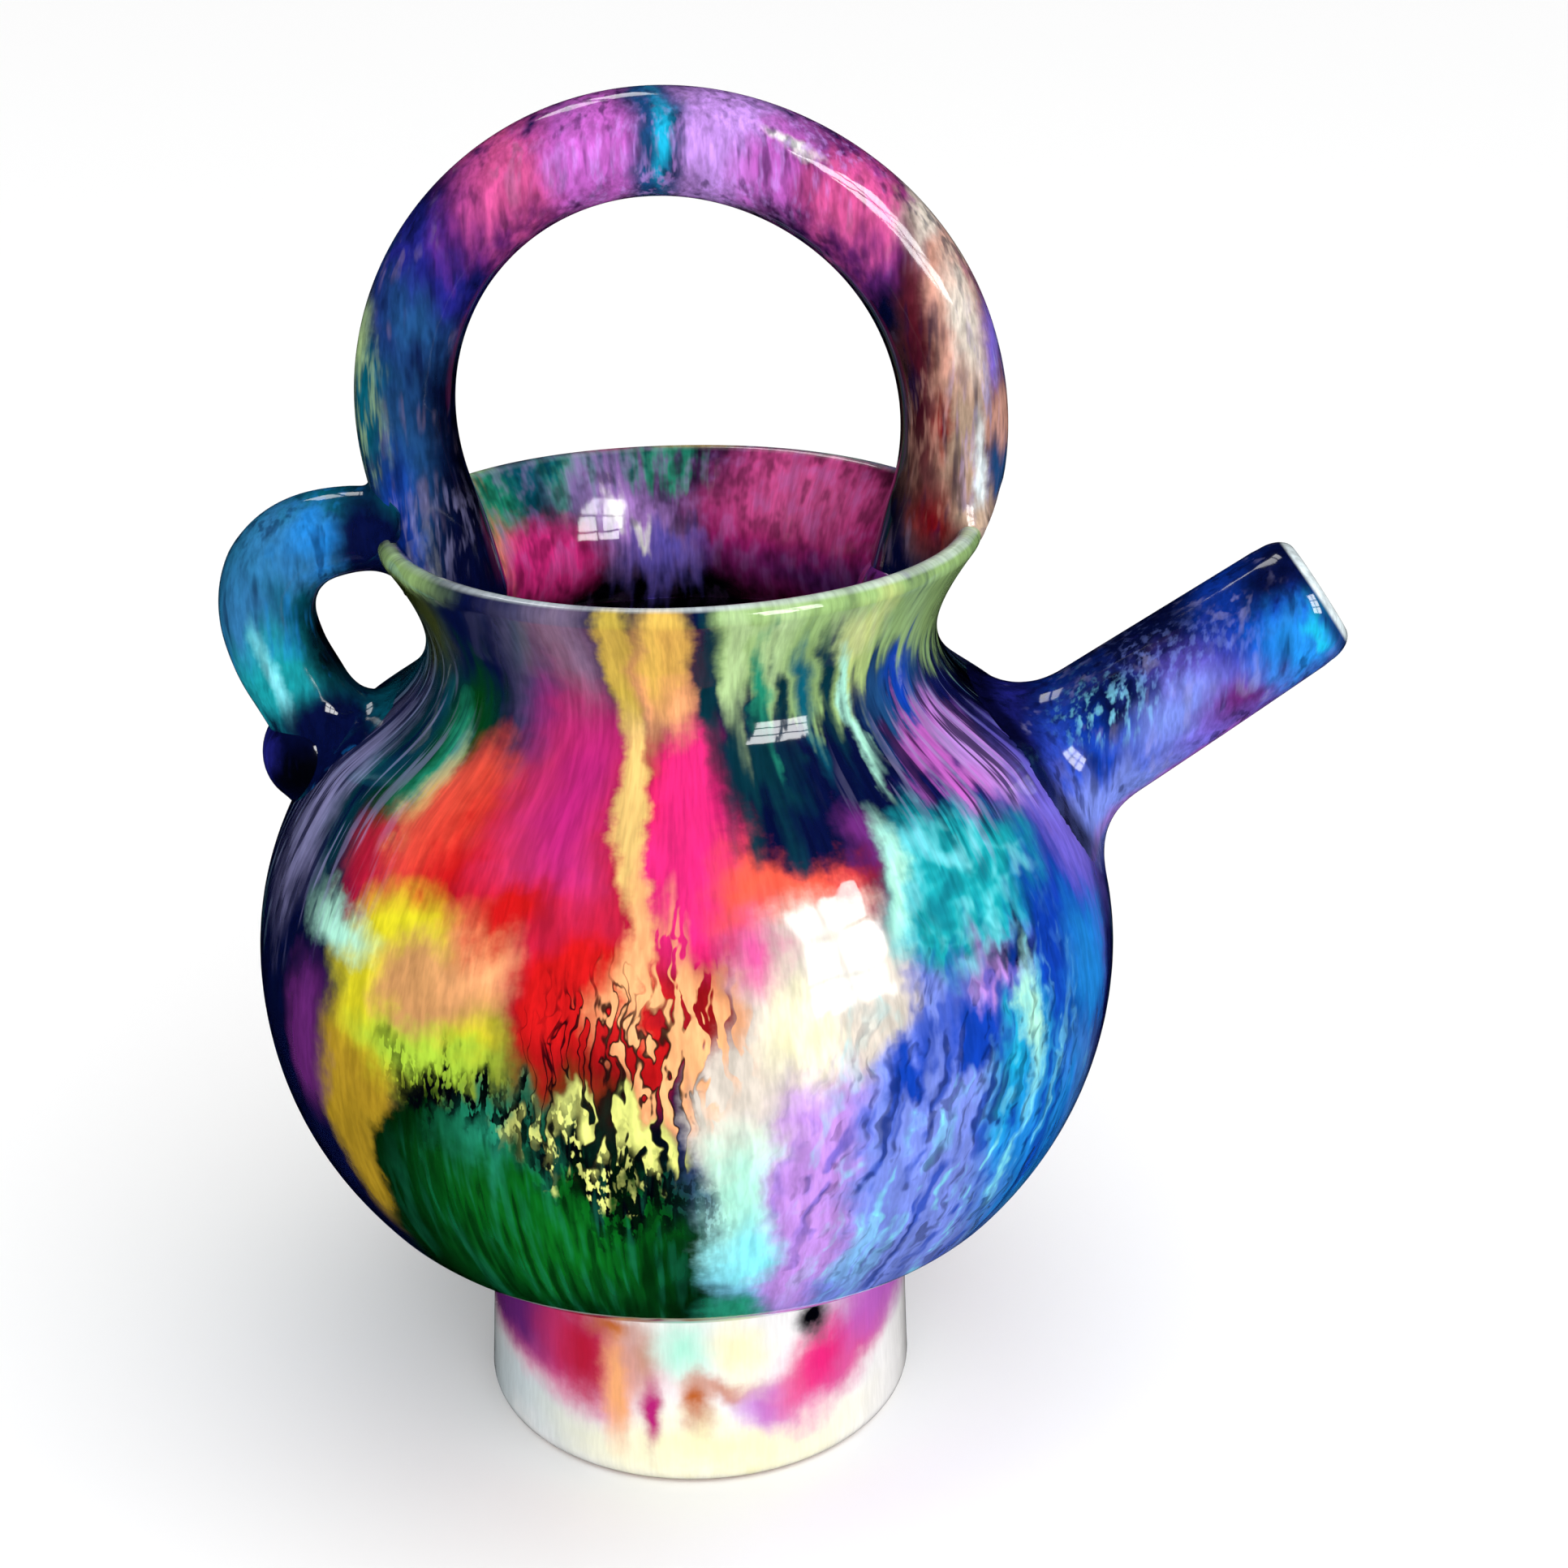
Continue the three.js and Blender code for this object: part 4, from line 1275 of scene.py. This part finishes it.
def drips(b, lane, scale, drawn):
    """Drops that have run down side by side, and the thin dark line round each."""
    flow = b.noise(b.vector("MULTIPLY", lane, (1.0, 1.0, drawn)), scale, 1.5)
    rim = b.sum("ABSOLUTE", b.sum("SUBTRACT", flow, DRIP_EDGE))
    return b.ramp(flow, DRIP_EDGE - DRIP_SOFT, DRIP_EDGE + DRIP_SOFT), b.ramp(rim, VEIN_IN, VEIN_OUT, 1.0, 0.0)


def leaning(b, chart, lean, drawn, sway):
    """The round chart drawn out along strokes that lean to the right as they rise, with some sway."""
    along, height, _ = b.parts(chart)
    across = b.sum("MULTIPLY_ADD", height, -lean, along)
    return b.vector("ADD", b.joined(across, 0.0, b.sum("MULTIPLY", height, drawn)), sway)


def shoulder_marks(b, below, chart, run):
    """Hatching on both shoulders and round the back."""
    dark, pale = dashes(b, chart.outputs["Lane"], 0.5, 0.5)
    behind = b.sum("SUBTRACT", 1.0, zone(b, run, "front"))
    sides = b.sum("MAXIMUM", zone(b, run, "left shoulder"), zone(b, run, "right shoulder"))
    patches = b.ramp(b.noise(chart.outputs["Place"], 0.03), 0.42, 0.6)
    below = b.lay(below, "navy", behind, dark, b.ramp(patches, 0, 1, 0.12, 0.45))
    below = b.lay(below, "aqua", behind, pale, b.ramp(patches, 0, 1, 0.15, 0.0))
    below = b.lay(below, "navy", sides, dark, 0.85)
    return b.lay(below, "lavender", sides, pale, 0.45)


def fine_marks(b, below, chart, run):
    """Strokes, drips, veins and speckle on the belly."""
    place, straight = chart.outputs["Place"], chart.outputs["Lane"]
    sway = b.sway(place, 0.12)
    lane = b.vector("ADD", straight, b.scaled(sway, 5.0))
    # Dark and pale strokes in the blue on the right
    blue = zone(b, run, "blue strokes")
    slanting = leaning(b, chart.outputs["Chart"], 0.3, 0.28, b.scaled(sway, 9.0))
    wide, pale = dashes(b, slanting, 0.16, 0.5, 0.06)
    thin, glint = dashes(b, slanting, 0.32, 0.6, 0.06)
    below = b.lay(below, "royal", blue, wide, 0.8)
    below = b.lay(below, "aqua", blue, pale, b.ramp(glint, 0.0, 1.0, 0.4, 0.9))
    below = b.lay(below, "navy", blue, thin, 0.55)
    # Glints in the turquoise
    pool = zone(b, run, "turquoise pool")
    dim, bright = dashes(b, b.vector("ADD", place, b.scaled(sway, 8.0)), 0.15, 0.8, 0.12)
    below = b.lay(below, "teal", pool, dim, 0.7)
    below = b.lay(below, "aqua", pool, bright, 0.6)
    # Peach drips on the red, lemon ones on black below them, and the dark line round each
    drop, vein = drips(b, lane, 0.62, 0.4)
    low = zone(b, run, "lemon drips")
    below = b.lay(below, "peach", zone(b, run, "peach drips"), drop)
    below = b.lay(below, "ink", low, 0.9)
    below = b.lay(below, "lemon", low, drop)
    below = b.lay(below, "ink", zone(b, run, "veins"), vein, 0.92)
    # Speckle along the top of the green
    grain = b.noise(b.vector("MULTIPLY", straight, (1.0, 1.0, 1.6)), 1.0, 2.0, 0.6)
    edge = b.sum("MAXIMUM", zone(b, run, "speckle under the drips"), zone(b, run, "speckle under the yellow"))
    below = b.lay(below, "ink", edge, b.ramp(grain, 0.44, 0.5))
    # Hatching in the green
    green = zone(b, run, "green hatching")
    dark, light = dashes(b, straight, 0.6, 0.4, 0.08)
    below = b.lay(below, "dark green", green, dark, 0.7)
    return b.lay(below, "jade", green, light, 0.25)


def mouth_glaze(b, chart, run, height):
    """The glaze on the inside, dark lower down."""
    mouth = painted(b, colour("ink"), on_round(MOUTH_POURS), run)
    dark, pale = dashes(b, chart.outputs["Place"], 0.3, 0.45, 0.1)
    mouth = b.lay(mouth, "ink", dark, 0.5)
    return b.lay(mouth, "lilac", pale, b.ramp(height, 155.0, 172.0, 0.05, 0.2))


def body_material(name, low, high, base, pours, contrast, lanes, run_mm, front_marks=False, inside=False,
                  bare_base=False):
    """Glaze of a thrown piece that lies between two heights."""
    material, b, shader, chart, run = glaze_start(name, ROUND_CHART, 0.2, 8.0, run_mm, lanes)
    place = chart.outputs["Place"]
    height = b.parts(place)[2]
    below = painted(b, colour(base), on_round(pours, low, high), run)
    if inside:
        below = shoulder_marks(b, below, chart, run)
    if front_marks:
        below = fine_marks(b, below, chart, run)
    if inside:
        below = b.over(below, mouth_glaze(b, chart, run, height), b.mark("inside"))
        # Pale top of the lip, more on the front and right: thin glaze with a painted highlight, broken up by noise
        lip = b.ramp(height, LIP_TOP_Z - 0.9, LIP_TOP_Z - 0.2)
        patchy_thin_glaze_and_sheen = b.ramp(b.noise(place, 0.04), 0.35, 0.6, 0.3, 0.8)
        ahead = b.ramp(zone(b, run, "pale lip"), 0.0, 1.0, 0.2, 1.0)
        below = b.lay(below, "cool grey", ahead, lip, patchy_thin_glaze_and_sheen)
    if bare_base:
        pool = b.lay(colour("ink"), "teal", b.ramp(run.outputs["Streak"], 0.4, 0.8, 0.1, 0.6))
        below = b.over(below, pool, b.mark("inside"))
        below = b.lay(below, "clay", b.ramp(height, 0.9, 0.3))
    glossed(b, shader, below, run, place, contrast)
    return material


def side_material(name, base, pours, contrast, dark_lines, pale_lines, hatching=(), spout_ends=False):
    """Glaze of a handle or the spout, with broken strokes of a dark and a pale colour in it."""
    material, b, shader, chart, run = glaze_start(name, SIDE_CHART, 0.25, 4.0, 8.0, 0.3)
    place, lane = chart.outputs["Place"], chart.outputs["Lane"]
    below = painted(b, colour(base), pours, run)
    dark, pale = dashes(b, lane, 0.42, 0.5, 0.07)
    broken = b.noise(place, 0.08)
    below = b.lay(below, dark_lines, dark, b.ramp(broken, 0.4, 0.6, 0.15, 0.6))
    below = b.lay(below, pale_lines, pale, b.ramp(broken, 0.5, 0.36, 0.0, 0.35))
    fine = dashes(b, lane, 0.7, 0.6, 0.1)[1]
    for stroke, *pour in hatching:
        below = b.lay(below, stroke, patch(b, run.outputs[CALM], pour), fine, 0.5)
    if spout_ends:
        from_root = b.vector("SUBTRACT", place, tuple(SPOUT_START))
        along = b.node("VectorMath", {0: from_root, 1: tuple(SPOUT_WAY)}, operation="DOT_PRODUCT").outputs["Value"]
        below = b.lay(below, "navy", b.ramp(along, SPOUT_LENGTH - 4.5, SPOUT_LENGTH - 2.2), 0.7)
        # Pale rim at the very tip: a painted highlight on the rounded lip
        below = b.lay(below, "cool grey", b.ramp(along, SPOUT_LENGTH - 1.8, SPOUT_LENGTH - 1.0))
        height = b.parts(place)[2]
        below = b.lay(below, "ink", b.ramp(b.mark("edge"), 0.6, 0.85), b.ramp(height, 120.0, 130.0), 0.85)
    glossed(b, shader, below, run, place, contrast)
    return material


# Camera, as the picture was taken
CAMERA_PLACE_M = (0.0, -0.480, 0.3262)
CAMERA_PITCH = 21.79
CAMERA_YAW = 2.32
CAMERA_ROLL = -0.70
CAMERA_LENS = 60.09
CAMERA_SENSOR = 36.0


def set_camera():
    data = bpy.data.cameras.new("camera")
    data.sensor_width = CAMERA_SENSOR
    data.lens = CAMERA_LENS
    data.clip_start, data.clip_end = 0.01, 50.0
    camera = bpy.data.objects.new("camera", data)
    bpy.context.scene.collection.objects.link(camera)
    turn = (Matrix.Rotation(math.radians(-CAMERA_YAW), 4, "Z")
            @ Matrix.Rotation(math.radians(90 - CAMERA_PITCH), 4, "X")
            @ Matrix.Rotation(math.radians(CAMERA_ROLL), 4, "Z"))
    camera.matrix_world = Matrix.Translation(CAMERA_PLACE_M) @ turn
    bpy.context.scene.camera = camera


def plain_material(name, colour, roughness):
    material = bpy.data.materials.new(name)
    material.use_nodes = True
    shader = material.node_tree.nodes["Principled BSDF"]
    shader.inputs["Base Color"].default_value = (*colour, 1.0)
    shader.inputs["Roughness"].default_value = roughness
    return material


def stage_mesh(name, points, faces, material):
    """Puts a part of the studio into the scene."""
    mesh = bpy.data.meshes.new(name)
    mesh.from_pydata(points, [], faces)
    mesh.materials.append(material)
    part = bpy.data.objects.new(name, mesh)
    part.visible_glossy = False
    bpy.context.scene.collection.objects.link(part)
    return part


def set_floor():
    size = 4.0
    corners = [(-size, -size, 0), (size, -size, 0), (size, size, 0), (-size, size, 0)]
    stage_mesh("floor", corners, [(0, 1, 2, 3)], plain_material("pale floor", (0.95, 0.95, 0.95), 0.9))


def set_backdrop():
    """A plain white wall far behind the floor, seen only by the camera."""
    distance, height, sides = 3.9, 6.0, 48
    turns = [2 * math.pi * i / sides for i in range(sides)]
    points = [(distance * math.cos(t), distance * math.sin(t), z) for z in (-0.1, height) for t in turns]
    faces = [(i, (i + 1) % sides, (i + 1) % sides + sides, i + sides) for i in range(sides)]
    paper = plain_material("white paper", (0.0, 0.0, 0.0), 1.0)
    shader = paper.node_tree.nodes["Principled BSDF"]
    shader.inputs["Emission Color"].default_value = (1.0, 1.0, 1.0, 1.0)
    shader.inputs["Emission Strength"].default_value = 1.0
    backdrop = stage_mesh("backdrop", points, faces, paper)
    backdrop.visible_diffuse = backdrop.visible_shadow = False


def set_light(name, kind, place_m, aim_m, power, in_gloss, in_colour, **sizes):
    """A lamp that shows in the glaze's gloss, lights its colours, or both."""
    data = bpy.data.lights.new(name, kind)
    data.energy = power
    for key, value in sizes.items():
        setattr(data, key, value)
    lamp = bpy.data.objects.new(name, data)
    lamp.location = place_m
    lamp.rotation_euler = (Vector(aim_m) - Vector(place_m)).to_track_quat("-Z", "Y").to_euler()
    lamp.visible_glossy = in_gloss
    lamp.visible_diffuse = in_colour
    bpy.context.scene.collection.objects.link(lamp)


def set_window(name, place_m, aim_m, pane_m, gap_m, rows, columns, shine):
    """A window of bright panes for the glaze to mirror. Shine is each pane's brightness."""
    turn = (Vector(aim_m) - Vector(place_m)).to_track_quat("-Z", "Y")
    power = shine * math.pi * pane_m[0] * pane_m[1]
    for row in range(rows):
        for column in range(columns):
            across = (column - (columns - 1) / 2) * (pane_m[0] + gap_m)
            up = (row - (rows - 1) / 2) * (pane_m[1] + gap_m)
            at = Vector(place_m) + turn @ Vector((across, up, 0.0))
            ahead = at + turn @ Vector((0.0, 0.0, -1.0))
            set_light(f"{name} {row} {column}", "AREA", at, ahead, power, True, False,
                      shape="RECTANGLE", size=pane_m[0], size_y=pane_m[1])


# Studio: an even fill, two silks for the colours, and two windows for the gloss
JUG_MIDDLE_M = (0.0, 0.0, 0.13)
FILL = 0.45


def set_studio():
    world = bpy.data.worlds.new("studio")
    world.use_nodes = True
    world.node_tree.nodes["Background"].inputs["Color"].default_value = (1, 1, 1, 1)
    world.node_tree.nodes["Background"].inputs["Strength"].default_value = FILL
    world.cycles_visibility.glossy = False
    bpy.context.scene.world = world
    set_light("overhead silk", "SUN", (0.35, -0.6, 1.3), JUG_MIDDLE_M, power=2.35, in_gloss=False, in_colour=True,
              angle=math.radians(80))
    set_light("low front silk", "AREA", (0.1, -1.6, 0.5), (0.0, 0.0, 0.06), power=13, in_gloss=False, in_colour=True,
              shape="RECTANGLE", size=1.6, size_y=0.5)
    set_window("front window", (1.14, -1.28, 0.9), JUG_MIDDLE_M, pane_m=(0.34, 0.3), gap_m=0.05, rows=3, columns=2,
               shine=18)
    set_window("back window", (-0.4, 1.0, 1.75), JUG_MIDDLE_M, pane_m=(0.3, 0.5), gap_m=0.08, rows=1, columns=2,
               shine=6)


set_camera()
set_floor()
set_backdrop()
set_studio()
bpy.context.scene.view_settings.view_transform = "Standard"

ROUND_CHART = round_chart_group()
SIDE_CHART = side_chart_group()
RUNNING = running_group()
WHEEL = thrown_clay_tree()
ROLLER = rolled_coil_tree()

# Belly and neck have one glaze between them, so that no seam shows
BODY_GLAZE = {"base": "navy", "pours": BODY_POURS, "contrast": 0.17, "lanes": 0.3, "run_mm": 14.0, "inside": True}
foot_glaze = body_material("foot glaze", 0, 44, "white", FOOT_POURS, 0.05, 0.16, 8.0, bare_base=True)
belly_glaze = body_material("belly glaze", 40, 160, front_marks=True, **BODY_GLAZE)
neck_glaze = body_material("neck glaze", 155, 190, **BODY_GLAZE)
spout_glaze = side_material("spout glaze", "indigo", SPOUT_POURS, 0.2, "navy", "lavender", SPOUT_HATCHING, True)
hoop_glaze = side_material("hoop glaze", "navy", HOOP_POURS, 0.26, "navy", "mauve", HOOP_HATCHING)
loop_glaze = side_material("loop glaze", "teal", LOOP_POURS, 0.2, "navy", "azure")
wad_glaze = side_material("wad glaze", "navy", BUTTON_POURS, 0.2, "ink", "indigo")

thrown_pieces = (
    ("foot", foot_profile(), foot_glaze, False),
    ("belly", belly_profile(), belly_glaze, True),
    ("neck", neck_profile(), neck_glaze, True),
)
for node, profile, glaze, closed in thrown_pieces:
    shell = thrown("glazed_" + node, profile, glaze, closed)
    mark_inside(shell)
    add_piece("glazed_" + node, node, shell, glaze)
add_piece("glazed_spout", "spout", spout_mesh("glazed_spout"), spout_glaze)
add_piece("glazed_spout_collar", "spout_collar", collar_mesh("glazed_spout_collar"), spout_glaze)

hoop = hoop_line()
hoop_radii = HOOP_COIL + HOOP_COIL_SPREAD * (hoop[:, 0] - HOOP_CENTRE[0]) / HOOP_LONG_RADIUS
hoop_radii = rounded_ends(hoop, hoop_radii, HOOP_END_ROUND, HOOP_END_THIN)
hoop_mesh = coil_mesh("glazed_hoop", hoop, hoop_radii, hoop_glaze)
thumb_coil(hoop_mesh, hoop)
add_piece("glazed_hoop", "hoop_handle", hoop_mesh, hoop_glaze)
for side, node in ((-1, "hoop_wad_left"), (1, "hoop_wad_right")):
    wad = lump_mesh("glazed_" + node, (side * WAD_X, WAD_Z), WAD_SIZE, WAD_FLARE, WAD_FLARE_WIDTH, wall_distance)
    hold_in_neck(wad)
    add_piece("glazed_" + node, node, wad, wad_glaze)

loop = smooth_line(LOOP_LINE, LOOP_STEPS)
loop_radii = np.interp(np.linspace(0, 1, len(loop)), LOOP_COIL_ALONG, LOOP_COIL)
loop_mesh = coil_mesh("glazed_finger_loop", loop, loop_radii, loop_glaze)
press_coil(loop_mesh, loop, loop_radii, LOOP_REACH, neck_or_hoop_distance)
add_piece("glazed_finger_loop", "side_handle", loop_mesh, loop_glaze)
pad = lump_mesh("glazed_loop_button", PAD_CENTRE, PAD_SIZE, PAD_FLARE, PAD_FLARE_WIDTH, filled_distance)
add_piece("glazed_loop_button", "side_handle_pad", pad, wad_glaze)
